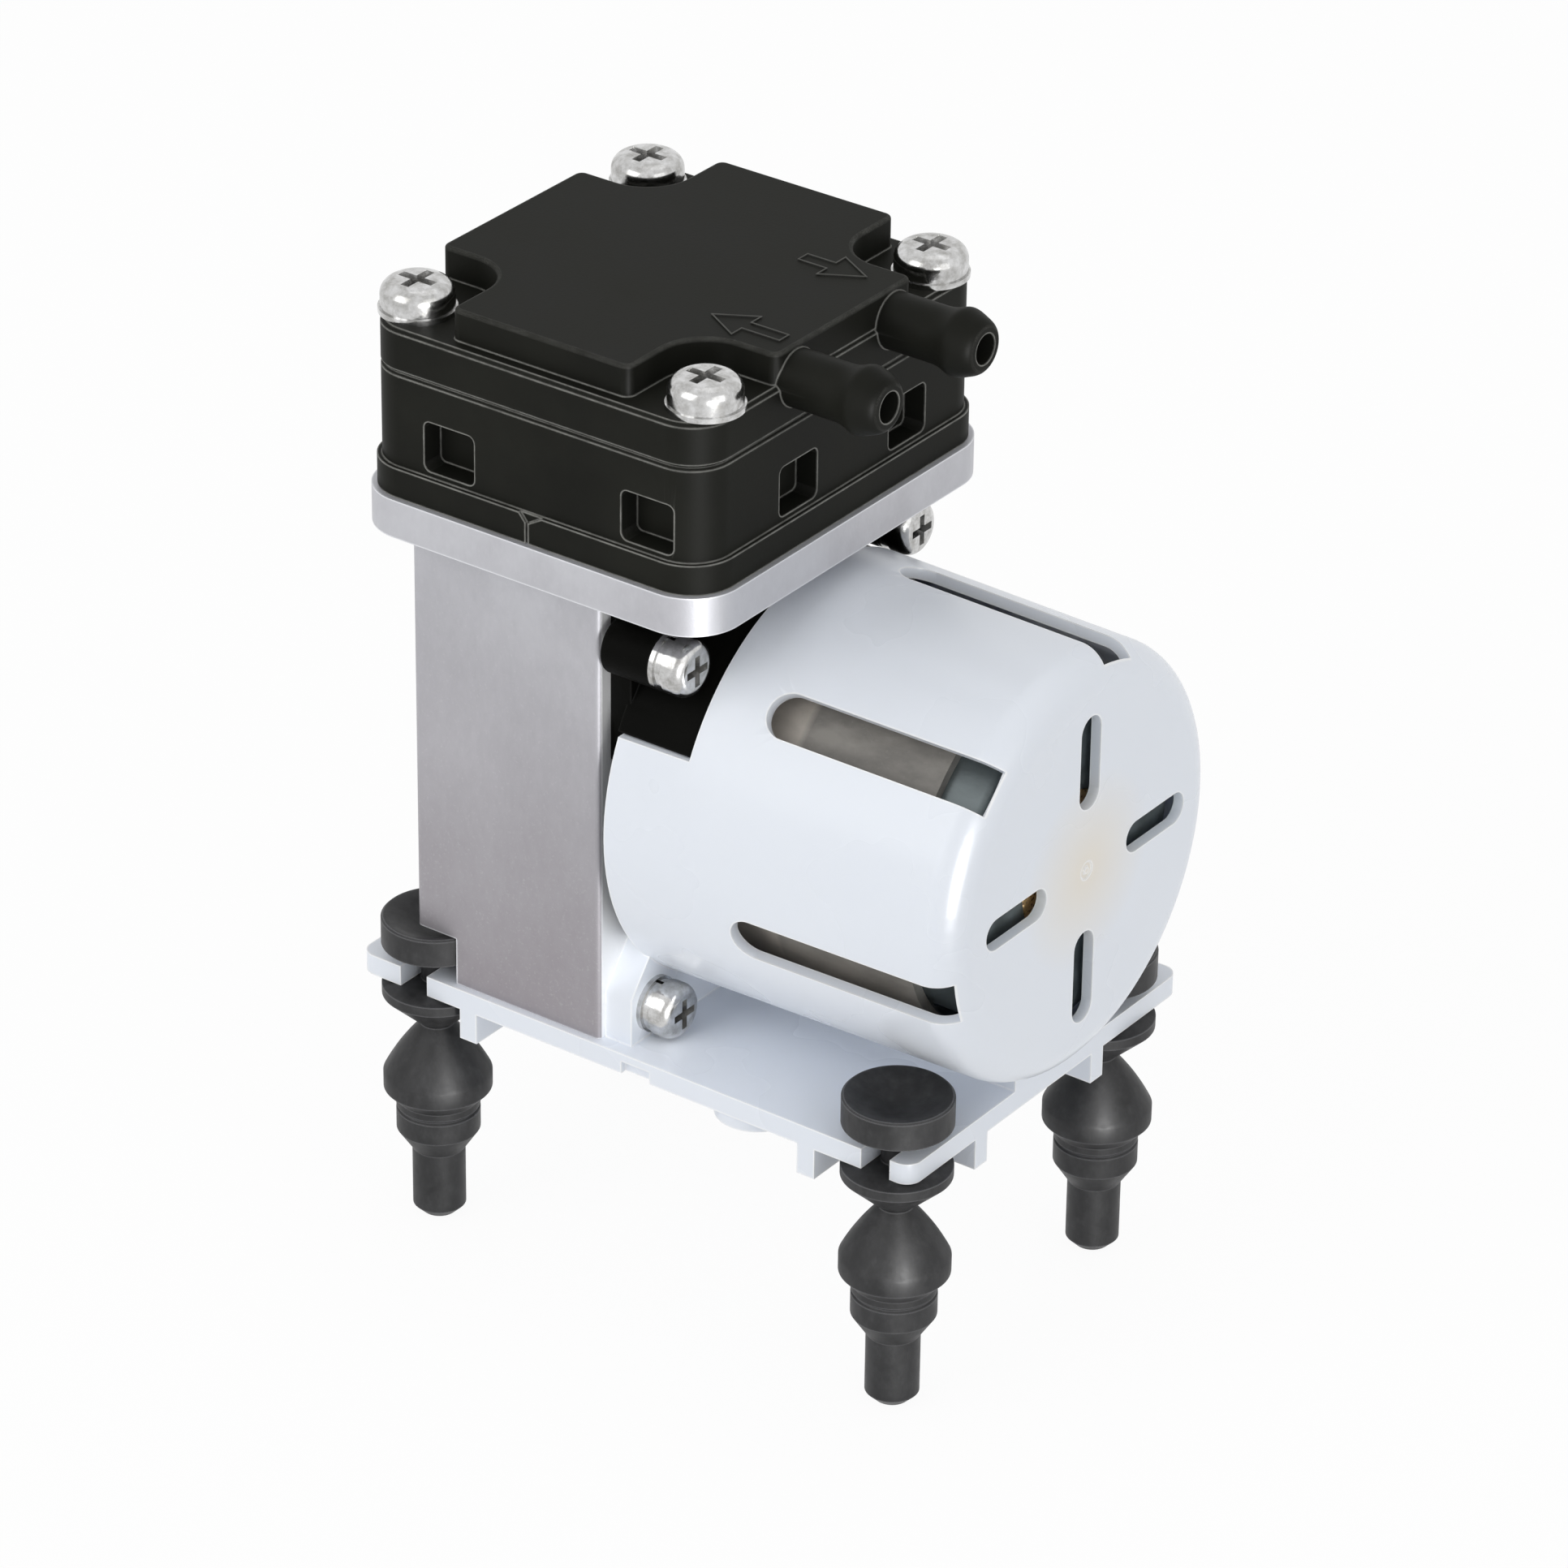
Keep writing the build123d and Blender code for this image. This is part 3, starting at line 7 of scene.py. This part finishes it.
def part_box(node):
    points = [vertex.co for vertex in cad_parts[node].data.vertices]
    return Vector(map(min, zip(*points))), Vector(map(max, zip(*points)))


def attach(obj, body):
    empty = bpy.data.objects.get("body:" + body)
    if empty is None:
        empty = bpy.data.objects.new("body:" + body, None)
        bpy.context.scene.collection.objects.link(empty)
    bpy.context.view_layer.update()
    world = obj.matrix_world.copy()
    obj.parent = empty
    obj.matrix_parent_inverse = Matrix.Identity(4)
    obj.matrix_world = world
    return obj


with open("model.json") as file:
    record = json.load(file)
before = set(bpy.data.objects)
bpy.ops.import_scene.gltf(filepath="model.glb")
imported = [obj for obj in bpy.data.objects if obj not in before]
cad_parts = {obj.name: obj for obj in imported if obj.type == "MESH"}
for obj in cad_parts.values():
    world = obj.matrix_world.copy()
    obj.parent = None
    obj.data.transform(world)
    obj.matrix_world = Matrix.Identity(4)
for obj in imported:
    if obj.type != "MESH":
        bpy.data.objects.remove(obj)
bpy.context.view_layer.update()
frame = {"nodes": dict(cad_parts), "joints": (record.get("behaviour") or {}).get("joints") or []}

# ------------------------------------------------------------------ places read from the frame

MM = 0.001
nodes = frame["nodes"]
joints = {joint["name"]: joint for joint in frame["joints"]}
motor_axis_z = joints["shaft_spin"]["pos_m"][2]

lid_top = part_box("head_cover")[1].z
cover_end_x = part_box("base_cover")[1].x
motor_face_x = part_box("motor_bracket")[0].x
wrap_start_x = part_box("flux_ring")[0].x

bpy.ops.object.select_all(action="DESELECT")


# ------------------------------------------------------------------ material helpers

def set_inputs(node, values):
    """Set a node's sockets by name, with _ for each space."""
    for socket, value in values.items():
        node.inputs[socket.replace("_", " ")].default_value = value


# A colour mix node's sockets for its two colours and its result
MIX_FIRST, MIX_SECOND, MIX_RESULT = 6, 7, 2


class Finish:
    """One procedural material, built on Object coordinates."""

    def __init__(self, name, colour, roughness, metallic=0.0, **sockets):
        self.material = bpy.data.materials.new(name)
        self.material.use_nodes = True
        self.tree = self.material.node_tree
        self.nodes = self.tree.nodes
        self.shader = self.nodes["Principled BSDF"]
        set_inputs(self.shader, {"Base Color": (*colour, 1), "Roughness": roughness})
        set_inputs(self.shader, {"Metallic": metallic, **sockets})
        self.place = self.add("TexCoord").outputs["Object"]

    def add(self, kind, **values):
        """A new node of one kind, with the named sockets set."""
        node = self.nodes.new("ShaderNode" + kind)
        set_inputs(node, values)
        return node

    def link(self, start, end):
        self.tree.links.new(start, end)

    def stretched(self, scale):
        """Object coordinates, scaled along each axis."""
        mapping = self.add("Mapping", Scale=scale)
        self.link(self.place, mapping.inputs["Vector"])
        return mapping.outputs["Vector"]

    def noise(self, scale, detail=4.0, rough=0.55, vector=None):
        """Noise from 0 to 1, with its scale per millimetre."""
        node = self.add("TexNoise", Scale=scale / MM, Detail=detail, Roughness=rough)
        self.link(vector or self.place, node.inputs["Vector"])
        return node.outputs["Fac"]

    def pits(self, scale):
        """Distance to scattered points, with their scale per millimetre."""
        node = self.add("TexVoronoi", Scale=scale / MM)
        self.link(self.place, node.inputs["Vector"])
        return node.outputs["Distance"]

    def axis(self, letter):
        """Position along one axis, in metres."""
        split = self.add("SeparateXYZ")
        self.link(self.place, split.inputs["Vector"])
        return split.outputs[letter]

    def span(self, value, low, high, to_low=0.0, to_high=1.0):
        """The value from low to high, mapped onto to_low to to_high and held there."""
        node = self.add("MapRange", From_Min=low, From_Max=high, To_Min=to_low, To_Max=to_high)
        self.link(value, node.inputs["Value"])
        return node.outputs["Result"]

    def combine(self, operation, first, second):
        """Two values, each a number or a socket, joined by a math operation."""
        node = self.add("Math")
        node.operation = operation
        for socket, value in zip(node.inputs, (first, second)):
            if isinstance(value, (int, float)):
                socket.default_value = value
            else:
                self.link(value, socket)
        return node.outputs["Value"]

    def mix(self, amount, first, second):
        """Colour between first and second, each a colour or a socket."""
        node = self.add("Mix")
        node.data_type = "RGBA"
        self.link(amount, node.inputs["Factor"])
        for index, value in ((MIX_FIRST, first), (MIX_SECOND, second)):
            if isinstance(value, tuple):
                node.inputs[index].default_value = (*value, 1)
            else:
                self.link(value, node.inputs[index])
        return node.outputs[MIX_RESULT]

    def colour(self, socket):
        self.link(socket, self.shader.inputs["Base Color"])

    def roughness(self, socket):
        self.link(socket, self.shader.inputs["Roughness"])

    def edges(self, width, first=0.998, last=0.965):
        """1 along sharp edges within width millimetres, 0 on open faces."""
        rounded = self.add("Bevel", Radius=width * MM)
        rounded.samples = 6
        flat = self.add("NewGeometry")
        match = self.add("VectorMath")
        match.operation = "DOT_PRODUCT"
        self.link(rounded.outputs["Normal"], match.inputs[0])
        self.link(flat.outputs["Normal"], match.inputs[1])
        return self.span(match.outputs["Value"], first, last)

    def relief(self, height, distance, strength=1.0, under=None):
        """Bump from a height, in millimetres, over an earlier bump."""
        node = self.add("Bump", Strength=strength, Distance=distance * MM)
        self.link(height, node.inputs["Height"])
        if under:
            self.link(under, node.inputs["Normal"])
        self.link(node.outputs["Normal"], self.shader.inputs["Normal"])
        return node.outputs["Normal"]


# ------------------------------------------------------------------ finishes

# Heights between which the casting changes tone, in metres
BODY_TONE_Z = (0.030, 0.074)
UPPER_TONE_Z = (0.062, 0.074)
# Heights above which the painted highlight on the mounting face strip fades out, in metres
FACED_GLINT_BELOW_Z = (0.0755, 0.0752)
# Depths behind the motor face between which the painted highlight on the mounting face strip
# begins, in millimetres
FACED_GLINT_DEPTH = (0.06, 0.02)


def cast_aluminium():
    """Die casting, finely mottled, paler towards the top, with painted highlights along its edges.
    """
    f = Finish("cast_aluminium", (0.34, 0.33, 0.355), 0.42, 0.35)
    cloud = f.noise(0.07, 5.0, 0.55)
    streak = f.noise(1.3, 5.0, 0.6, f.stretched((1.0, 1.0, 0.5)))
    speck = f.noise(3.2, 3.0, 0.7)
    tone = f.combine("ADD", f.combine("MULTIPLY", streak, 0.3), f.combine("MULTIPLY", cloud, 0.7))
    mottle = f.span(tone, 0.36, 0.66)
    low = f.mix(mottle, (0.285, 0.262, 0.282), (0.325, 0.307, 0.328))
    high = f.mix(mottle, (0.440, 0.440, 0.468), (0.520, 0.520, 0.552))
    rise = f.span(f.axis("Z"), *BODY_TONE_Z)
    base = f.mix(rise, low, high)
    upper = f.span(f.axis("Z"), *UPPER_TONE_Z)
    pale = f.combine("MULTIPLY", upper, f.span(cloud, 0.42, 0.62, 0.0, 0.4))
    base = f.mix(pale, base, (0.60, 0.61, 0.64))
    base = f.mix(f.span(speck, 0.58, 0.72, 0.0, 0.22), base, (0.62, 0.62, 0.63))
    # Near-white strip of mounting face along the motor face: faced metal with a painted highlight.
    faced_glint_x = f.span(f.axis("X"), *(motor_face_x - depth * MM for depth in FACED_GLINT_DEPTH))
    below = f.span(f.axis("Z"), *FACED_GLINT_BELOW_Z)
    faced_glint = f.combine("MULTIPLY", faced_glint_x, below)
    base = f.mix(faced_glint, base, (0.95, 0.955, 0.96))
    # Pale colour along the edges: a painted highlight.
    f.colour(f.mix(f.edges(0.28), base, (0.80, 0.81, 0.84)))
    f.roughness(f.span(tone, 0.3, 0.7, 0.50, 0.36))
    fine = f.relief(speck, 0.03, 0.4)
    f.relief(streak, 0.03, 0.25, fine)
    return f.material


def moulded_black(name="moulded_black", level=0.011, shine=0.06, edge=0.30):
    """Glass-filled black plastic with a fine skin and edges painted paler as highlights."""
    f = Finish(name, (level, level, level * 0.8), 0.42, Specular_IOR_Level=shine)
    cloud = f.noise(0.08, 5.0, 0.55)
    skin = f.noise(3.0, 3.0, 0.6)
    rub_and_glint = f.noise(0.7, 4.0, 0.6)
    low = (level * 0.8, level * 0.82, level * 0.66)
    high = (level * 1.25, level * 1.28, level * 1.02)
    base = f.mix(f.span(cloud, 0.35, 0.65), low, high)
    # The edge colour is a painted highlight, broken up by noise.
    if edge:
        edge_highlight = f.combine("MULTIPLY", f.edges(0.26), f.span(rub_and_glint, 0.3, 0.6, 0.55, 1.0))
        base = f.mix(edge_highlight, base, (edge, edge, edge * 0.93))
    f.colour(base)
    f.roughness(f.span(cloud, 0.3, 0.7, 0.46, 0.56))
    f.relief(skin, 0.02, 0.4)
    return f.material


# Distances from the gate between which the cover warms, in metres
GATE_REACH = (0.0100, 0.0015)


def milky_white():
    """Translucent white polypropylene, warmer round the gate at the cover's end."""
    f = Finish(
        "milky_white", (0.80, 0.84, 0.90), 0.30,
        Subsurface_Weight=0.15, Subsurface_Scale=0.001, Specular_IOR_Level=0.45,
    )
    f.shader.inputs["Subsurface Radius"].default_value = (1.0, 1.0, 1.1)
    cloud = f.noise(0.05, 3.0, 0.45)
    wall = f.mix(f.span(cloud, 0.3, 0.7), (0.790, 0.830, 0.895), (0.812, 0.850, 0.912))
    distance = f.add("VectorMath")
    distance.operation = "DISTANCE"
    f.link(f.place, distance.inputs[0])
    distance.inputs[1].default_value = (cover_end_x, 0, motor_axis_z)
    near_gate = f.span(distance.outputs["Value"], *GATE_REACH)
    wall = f.mix(near_gate, wall, (0.82, 0.78, 0.71))
    # Paler rim along the cover's edges and slot lips: a painted highlight.
    f.colour(f.mix(f.edges(0.30), wall, (0.94, 0.955, 0.975)))
    f.roughness(f.span(cloud, 0.3, 0.7, 0.24, 0.34))
    f.relief(f.noise(0.2, 3.0, 0.5), 0.04, 0.15)
    return f.material


def charcoal_rubber():
    """Rubber with a faint dusty bloom and rubbed streaks."""
    f = Finish("charcoal_rubber", (0.024, 0.024, 0.026), 0.5, Specular_IOR_Level=0.3)
    bloom = f.noise(0.5, 6.0, 0.65)
    rub_and_glint = f.noise(1.0, 4.0, 0.6, f.stretched((1.0, 1.0, 0.45)))
    dusty = f.combine("MULTIPLY", f.span(bloom, 0.34, 0.70), f.span(rub_and_glint, 0.3, 0.72))
    body = f.mix(dusty, (0.017, 0.017, 0.018), (0.048, 0.048, 0.050))
    # Paler rubber along the edges: a painted highlight.
    f.colour(f.mix(f.edges(0.22), body, (0.11, 0.11, 0.115)))
    f.roughness(f.span(bloom, 0.3, 0.7, 0.40, 0.60))
    f.relief(rub_and_glint, 0.03, 0.35)
    return f.material


def bright_zinc():
    """Bright plated steel with faint turning marks and stains."""
    f = Finish("bright_zinc", (0.6, 0.6, 0.6), 0.14, 1.0)
    stain = f.noise(0.9, 5.0, 0.65)
    f.colour(f.mix(f.span(stain, 0.35, 0.7), (0.66, 0.66, 0.66), (0.34, 0.335, 0.32)))
    f.roughness(f.span(stain, 0.3, 0.7, 0.09, 0.26))
    f.relief(f.noise(4.0, 2.0, 0.5), 0.015, 0.35)
    return f.material


def plated_steel(name="plated_steel", colour=(0.40, 0.385, 0.36), rough=0.4):
    """Plated sheet steel, lightly mottled."""
    f = Finish(name, colour, rough, 0.6)
    cloud = f.noise(0.3, 5.0, 0.6, f.stretched((0.4, 1.0, 1.0)))
    low = tuple(value * 0.8 for value in colour)
    high = tuple(min(1.0, value * 1.2) for value in colour)
    f.colour(f.mix(f.span(cloud, 0.35, 0.65), low, high))
    f.roughness(f.span(cloud, 0.3, 0.7, rough - 0.08, rough + 0.1))
    f.relief(f.noise(3.0, 3.0, 0.6), 0.02, 0.4)
    return f.material


# Where light is painted on the wrap, in millimetres: from its start along X, and below the motor
# axis
WRAP_LIT_REAR = (11.6, 10.8)
WRAP_LIT_UNDER = (6, 11)


def paper_wrap():
    """Grey-beige wrap round the motor, with light painted on it towards its start along X and its
    underside.
    """
    f = Finish("paper_wrap", (0.18, 0.17, 0.155), 0.5, Specular_IOR_Level=0.3)
    cloud = f.noise(0.35, 5.0, 0.6, f.stretched((0.5, 1.0, 1.0)))
    fibre = f.noise(2.5, 4.0, 0.65)
    # Shaded and lit copies of the wrap colour: the lit one is painted light, where it falls
    # through the slot and comes up from the floor.
    shaded_wrap = f.mix(f.span(cloud, 0.35, 0.65), (0.20, 0.19, 0.175), (0.30, 0.285, 0.26))
    light = f.mix(f.span(cloud, 0.35, 0.65), (0.44, 0.405, 0.36), (0.54, 0.495, 0.445))
    lit_rear = f.span(f.axis("X"), *(wrap_start_x + along * MM for along in WRAP_LIT_REAR))
    under = f.span(f.axis("Z"), *(motor_axis_z - down * MM for down in WRAP_LIT_UNDER))
    base = f.mix(f.combine("MAXIMUM", lit_rear, under), shaded_wrap, light)
    f.colour(f.mix(f.span(fibre, 0.6, 0.75, 0.0, 0.4), base, (0.34, 0.33, 0.31)))
    f.roughness(f.span(cloud, 0.3, 0.7, 0.42, 0.6))
    f.relief(fibre, 0.03, 0.4)
    return f.material


def sintered_bronze():
    """Oil-filled sintered bronze, dotted with open pores."""
    f = Finish("sintered_bronze", (0.42, 0.27, 0.11), 0.5, 0.55)
    pores = f.pits(2.6)
    f.colour(f.mix(f.span(pores, 0.18, 0.4), (0.10, 0.06, 0.03), (0.55, 0.38, 0.18)))
    f.roughness(f.span(pores, 0.1, 0.5, 0.7, 0.42))
    f.relief(pores, 0.08, 0.8)
    return f.material


def copper_wire():
    """Enamelled windings, in strands along X."""
    f = Finish("copper_wire", (0.5, 0.18, 0.07), 0.32, 0.8)
    strand = f.noise(1.6, 2.0, 0.5, f.stretched((3.0, 0.6, 0.6)))
    f.colour(f.mix(f.span(strand, 0.35, 0.65), (0.34, 0.10, 0.04), (0.62, 0.26, 0.10)))
    f.relief(strand, 0.25, 0.8)
    return f.material


def dull_ferrite():
    """Dark sintered magnet or oxide, lightly dusted."""
    f = Finish("dull_ferrite", (0.05, 0.05, 0.05), 0.7)
    dust = f.noise(1.2, 4.0, 0.6)
    f.colour(f.mix(f.span(dust, 0.3, 0.7), (0.035, 0.035, 0.035), (0.08, 0.08, 0.08)))
    f.relief(dust, 0.04, 0.4)
    return f.material


def natural_nylon():
    """Unpigmented nylon, faintly clouded."""
    f = Finish("natural_nylon", (0.68, 0.66, 0.6), 0.42)
    cloud = f.noise(0.2, 3.0, 0.5)
    f.colour(f.mix(f.span(cloud, 0.35, 0.65), (0.62, 0.6, 0.54), (0.74, 0.72, 0.66)))
    f.relief(f.noise(2.0, 2.0, 0.5), 0.02, 0.3)
    return f.material


black = moulded_black()
# Bracket and brush holder in a black darkened far below the other black plastic: painted shade.
shaded_bracket_black = moulded_black("shaded_bracket_black", level=0.0025, shine=0.03, edge=0.012)
aluminium = cast_aluminium()
white = milky_white()
rubber = charcoal_rubber()
zinc = bright_zinc()
ground_steel = plated_steel("ground_steel", (0.5, 0.5, 0.5), 0.3)
end_steel = plated_steel("end_steel", (0.15, 0.175, 0.18), 0.42)
wrap = paper_wrap()
bronze = sintered_bronze()
copper = copper_wire()
ferrite = dull_ferrite()
nylon = natural_nylon()

node_finish = {
    "base_cover": white,
    "pump_housing": aluminium,
    "head_frame": black,
    "head_cover": black,
    "motor_bracket": shaded_bracket_black,
    "valve_plate": nylon,
    "valve_gasket": rubber,
    "inlet_valve": rubber,
    "outlet_valve": rubber,
    "diaphragm": rubber,
    "head_screws": zinc,
    "head_washers": zinc,
    "upper_screws": zinc,
    "upper_flat_washers": zinc,
    "upper_spring_washers": zinc,
    "lower_screws": zinc,
    "lower_flat_washers": zinc,
    "lower_spring_washers": zinc,
    "bracket_screws": zinc,
    "retainer_screw": zinc,
    "set_screw": ferrite,
    "motor_can": end_steel,
    "flux_ring": wrap,
    "motor_end_cap": end_steel,
    "front_bearing": bronze,
    "rear_bearing": bronze,
    "motor_magnets": ferrite,
    "motor_shaft": ground_steel,
    "armature_core": end_steel,
    "armature_windings": copper,
    "commutator": copper,
    "brush_holder": shaded_bracket_black,
    "brushes": ferrite,
    "eccentric": ground_steel,
    "bearing_inner_ring": ground_steel,
    "bearing_outer_ring": ground_steel,
    "bearing_balls": ground_steel,
    "connecting_rod": aluminium,
    "support_plate": aluminium,
    "retainer_plate": ground_steel,
    "foot_rear_near": rubber,
    "foot_rear_far": rubber,
    "foot_front_near": rubber,
    "foot_front_far": rubber,
}

# Modifier settings of the pieces: rounding in millimetres, angles in degrees
WELD_REACH = 1e-6
FLAT_ANGLE = 0.5
ROUND_ANGLE = 40
SPLIT_ANGLE = 32
edge_rounding = {
    "base_cover": 0.2,
    "pump_housing": 0.2,
    "head_frame": 0.16,
    "head_cover": 0.16,
    "motor_bracket": 0.15,
}

for name, node in nodes.items():
    node.data.materials.clear()
    node.data.materials.append(node_finish[name])
    for face in node.data.polygons:
        face.use_smooth = True
    weld = node.modifiers.new("weld", "WELD")
    weld.merge_threshold = WELD_REACH
    if name in edge_rounding:
        flats = node.modifiers.new("flats", "DECIMATE")
        flats.decimate_type = "DISSOLVE"
        flats.angle_limit = radians(FLAT_ANGLE)
        rounding = node.modifiers.new("edges", "BEVEL")
        rounding.width = edge_rounding[name] * MM
        rounding.segments = 2
        rounding.limit_method = "ANGLE"
        rounding.angle_limit = radians(ROUND_ANGLE)
        rounding.use_clamp_overlap = True
        normals = node.modifiers.new("normals", "WEIGHTED_NORMAL")
        normals.weight = 80
    else:
        split = node.modifiers.new("split", "EDGE_SPLIT")
        split.split_angle = radians(SPLIT_ANGLE)


# ------------------------------------------------------------------ flow arrows on the head

# Sizes of the arrows, in metres
ARROW_LINE = 0.16 * MM
ARROW_HEIGHT = 0.1 * MM
ARROW_HALF_WIDTH = 2.4 * MM
SHAFT_HALF_WIDTH = 0.8 * MM
# How near its line a corner counts as lying on it
CORNER_REACH = 0.2 * MM
EDGE_REACH = 0.02 * MM

arrow_finish = moulded_black("arrow_black", level=0.030, shine=0.15, edge=0.09)


def arrow_head(name, tip, length, points):
    """Flat triangle on the lid with its tip at the place given; also its back's X."""
    back_x = tip[0] - points * length
    bpy.ops.mesh.primitive_circle_add(
        vertices=3, radius=length / 1.5, fill_type="NGON", location=(back_x, tip[1], lid_top),
        rotation=(0, 0, -points * pi / 2),
    )
    arrow = bpy.context.active_object
    arrow.name = name
    bpy.ops.object.transform_apply(location=True, rotation=True, scale=True)
    corners = [corner.co.copy() for corner in arrow.data.vertices]
    farthest = max(corners, key=lambda spot: points * spot.x)
    spread = max(spot.y for spot in corners) - tip[1]
    bpy.ops.object.mode_set(mode="EDIT")
    bpy.ops.mesh.select_all(action="SELECT")
    bpy.ops.transform.resize(
        value=(1, ARROW_HALF_WIDTH / spread, 1), center_override=(tip[0], tip[1], lid_top)
    )
    bpy.ops.transform.translate(value=(tip[0] - farthest.x, 0, 0))
    return arrow, back_x


def add_shaft(arrow, tip, back_x, shaft, points):
    """Draw the shaft out of the middle of the head's back edge."""
    for side in (-1, 1):
        bpy.ops.mesh.select_all(action="SELECT")
        bpy.ops.mesh.bisect(
            plane_co=(0, tip[1] + side * SHAFT_HALF_WIDTH, lid_top), plane_no=(0, 1, 0)
        )
    bpy.ops.mesh.select_all(action="DESELECT")
    bpy.ops.object.mode_set(mode="OBJECT")
    mesh = arrow.data
    for edge in mesh.edges:
        ends = [mesh.vertices[index].co for index in edge.vertices]
        at_back = all(points * (end.x - back_x) < CORNER_REACH for end in ends)
        inside = all(abs(end.y - tip[1]) < SHAFT_HALF_WIDTH + EDGE_REACH for end in ends)
        edge.select = at_back and inside
    bpy.ops.object.mode_set(mode="EDIT")
    bpy.ops.mesh.select_mode(type="EDGE")
    bpy.ops.mesh.extrude_region_move(
        TRANSFORM_OT_translate={"value": (-points * shaft, 0, 0)}
    )
    bpy.ops.mesh.select_all(action="SELECT")
    bpy.ops.mesh.dissolve_limited(angle_limit=radians(1))


def raise_outline():
    """Keep only a thin line round the face being edited, and raise it."""
    bpy.ops.mesh.select_mode(type="FACE")
    bpy.ops.mesh.select_all(action="SELECT")
    bpy.ops.mesh.inset(thickness=ARROW_LINE, use_even_offset=True)
    bpy.ops.mesh.delete(type="FACE")
    bpy.ops.mesh.select_all(action="SELECT")
    bpy.ops.mesh.extrude_region_move(
        TRANSFORM_OT_translate={"value": (0, 0, ARROW_HEIGHT)}
    )
    bpy.ops.mesh.select_all(action="SELECT")
    bpy.ops.mesh.normals_make_consistent(inside=False)
    bpy.ops.object.mode_set(mode="OBJECT")


def flow_arrow(name, tip, length, shaft, points):
    """Raised outline of an arrow on the lid, pointing along +X (1) or -X (-1)."""
    bpy.ops.object.select_all(action="DESELECT")
    arrow, back_x = arrow_head(name, tip, length, points)
    add_shaft(arrow, tip, back_x, shaft, points)
    raise_outline()
    rounding = arrow.modifiers.new("rounding", "BEVEL")
    rounding.width = ARROW_HEIGHT * 0.3
    rounding.segments = 1
    bpy.ops.object.modifier_apply(modifier=rounding.name)
    arrow.data.materials.clear()
    arrow.data.materials.append(arrow_finish)
    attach(arrow, "pump_body")


flow_arrow("flow_arrow_in", tip=(-2.0 * MM, -7.3 * MM), length=4.1 * MM, shaft=4.2 * MM, points=-1)
flow_arrow("flow_arrow_out", tip=(4.8 * MM, 7.6 * MM), length=4.2 * MM, shaft=3.2 * MM, points=1)


# ------------------------------------------------------------------ studio

LIGHT_AIM = Vector((0.0, 0.0, 0.055))
LIGHT_UNDER_OTHER_RAYS = 0.68
FLOOR_DROP = 0.0002
FLOOR_BACKGROUND_SHARE = 0.94


def soft_light(name, spot, size, power):
    """Rectangular lamp at the spot, aimed at the middle of the pump."""
    lamp = bpy.data.lights.new(name, "AREA")
    lamp.shape = "RECTANGLE"
    lamp.size, lamp.size_y = size
    lamp.energy = power
    holder = bpy.data.objects.new(name, lamp)
    bpy.context.scene.collection.objects.link(holder)
    holder.location = spot
    holder.rotation_mode = "QUATERNION"
    holder.rotation_quaternion = (LIGHT_AIM - Vector(spot)).to_track_quat("-Z", "Y")
    return holder


def any_ray(tree, *kinds):
    """1 for a ray of any of the kinds, else 0."""
    rays = tree.nodes.new("ShaderNodeLightPath")
    found = rays.outputs[kinds[0]]
    for kind in kinds[1:]:
        either = tree.nodes.new("ShaderNodeMath")
        either.operation = "MAXIMUM"
        tree.links.new(found, either.inputs[0])
        tree.links.new(rays.outputs[kind], either.inputs[1])
        found = either.outputs["Value"]
    return found


soft_light("key_light", (-0.20, -0.60, 0.42), (0.5, 0.5), 1.35)
soft_light("side_light", (0.60, -0.15, 0.30), (0.4, 0.5), 0.45)
soft_light("top_light", (0.05, 0.15, 0.8), (0.5, 0.5), 0.2)

# Narrow strip that only runs along shiny corners
strip = soft_light("corner_strip", (0.34, -0.25, 0.05), (0.07, 0.20), 5.0)
strip.visible_camera = False
strip.visible_diffuse = False

# World: full white where it is seen, softer where it lights
world = bpy.data.worlds.new("studio")
bpy.context.scene.world = world
world.use_nodes = True
tree = world.node_tree
seen = any_ray(tree, "Is Camera Ray", "Is Glossy Ray", "Is Transmission Ray")
level = tree.nodes.new("ShaderNodeMapRange")
set_inputs(level, {"To Min": LIGHT_UNDER_OTHER_RAYS, "To Max": 1.0})
background = tree.nodes["Background"]
background.inputs["Color"].default_value = (1, 1, 1, 1)
tree.links.new(seen, level.inputs["Value"])
tree.links.new(level.outputs["Result"], background.inputs["Strength"])

# Floor: white, with the pump's soft shadow
bpy.ops.mesh.primitive_plane_add(size=6, location=(0, 0, -FLOOR_DROP))
floor = bpy.context.active_object
floor.name = "floor"
floor_finish = Finish("floor_paint", (0.93, 0.93, 0.93), 0.9, Specular_IOR_Level=0.0)
tree = floor_finish.tree
plain = floor_finish.add("Emission", Strength=1.0)
seen = any_ray(tree, "Is Camera Ray", "Is Glossy Ray")
blend = floor_finish.add("MixShader")
floor_finish.link(floor_finish.combine("MULTIPLY", seen, FLOOR_BACKGROUND_SHARE), blend.inputs[0])
floor_finish.link(floor_finish.shader.outputs[0], blend.inputs[1])
floor_finish.link(plain.outputs[0], blend.inputs[2])
floor_finish.link(blend.outputs[0], tree.nodes["Material Output"].inputs["Surface"])
floor.data.materials.append(floor_finish.material)

# Camera
camera_data = bpy.data.cameras.new("camera")
camera = bpy.data.objects.new("camera", camera_data)
bpy.context.scene.collection.objects.link(camera)
bpy.context.scene.camera = camera
camera_data.lens = 166.23
camera_data.sensor_width = 36
camera_data.clip_start = 0.05
camera_data.clip_end = 20
camera_place = (0.34967, -0.48265, 0.38285)
azimuth, elevation, roll = radians(35.798), radians(29.240), radians(0.763)
camera.matrix_world = (
    Matrix.Translation(camera_place)
    @ Matrix.Rotation(azimuth, 4, "Z")
    @ Matrix.Rotation(pi / 2 - elevation, 4, "X")
    @ Matrix.Rotation(roll, 4, "Z")
)

bpy.context.scene.view_settings.view_transform = "Standard"
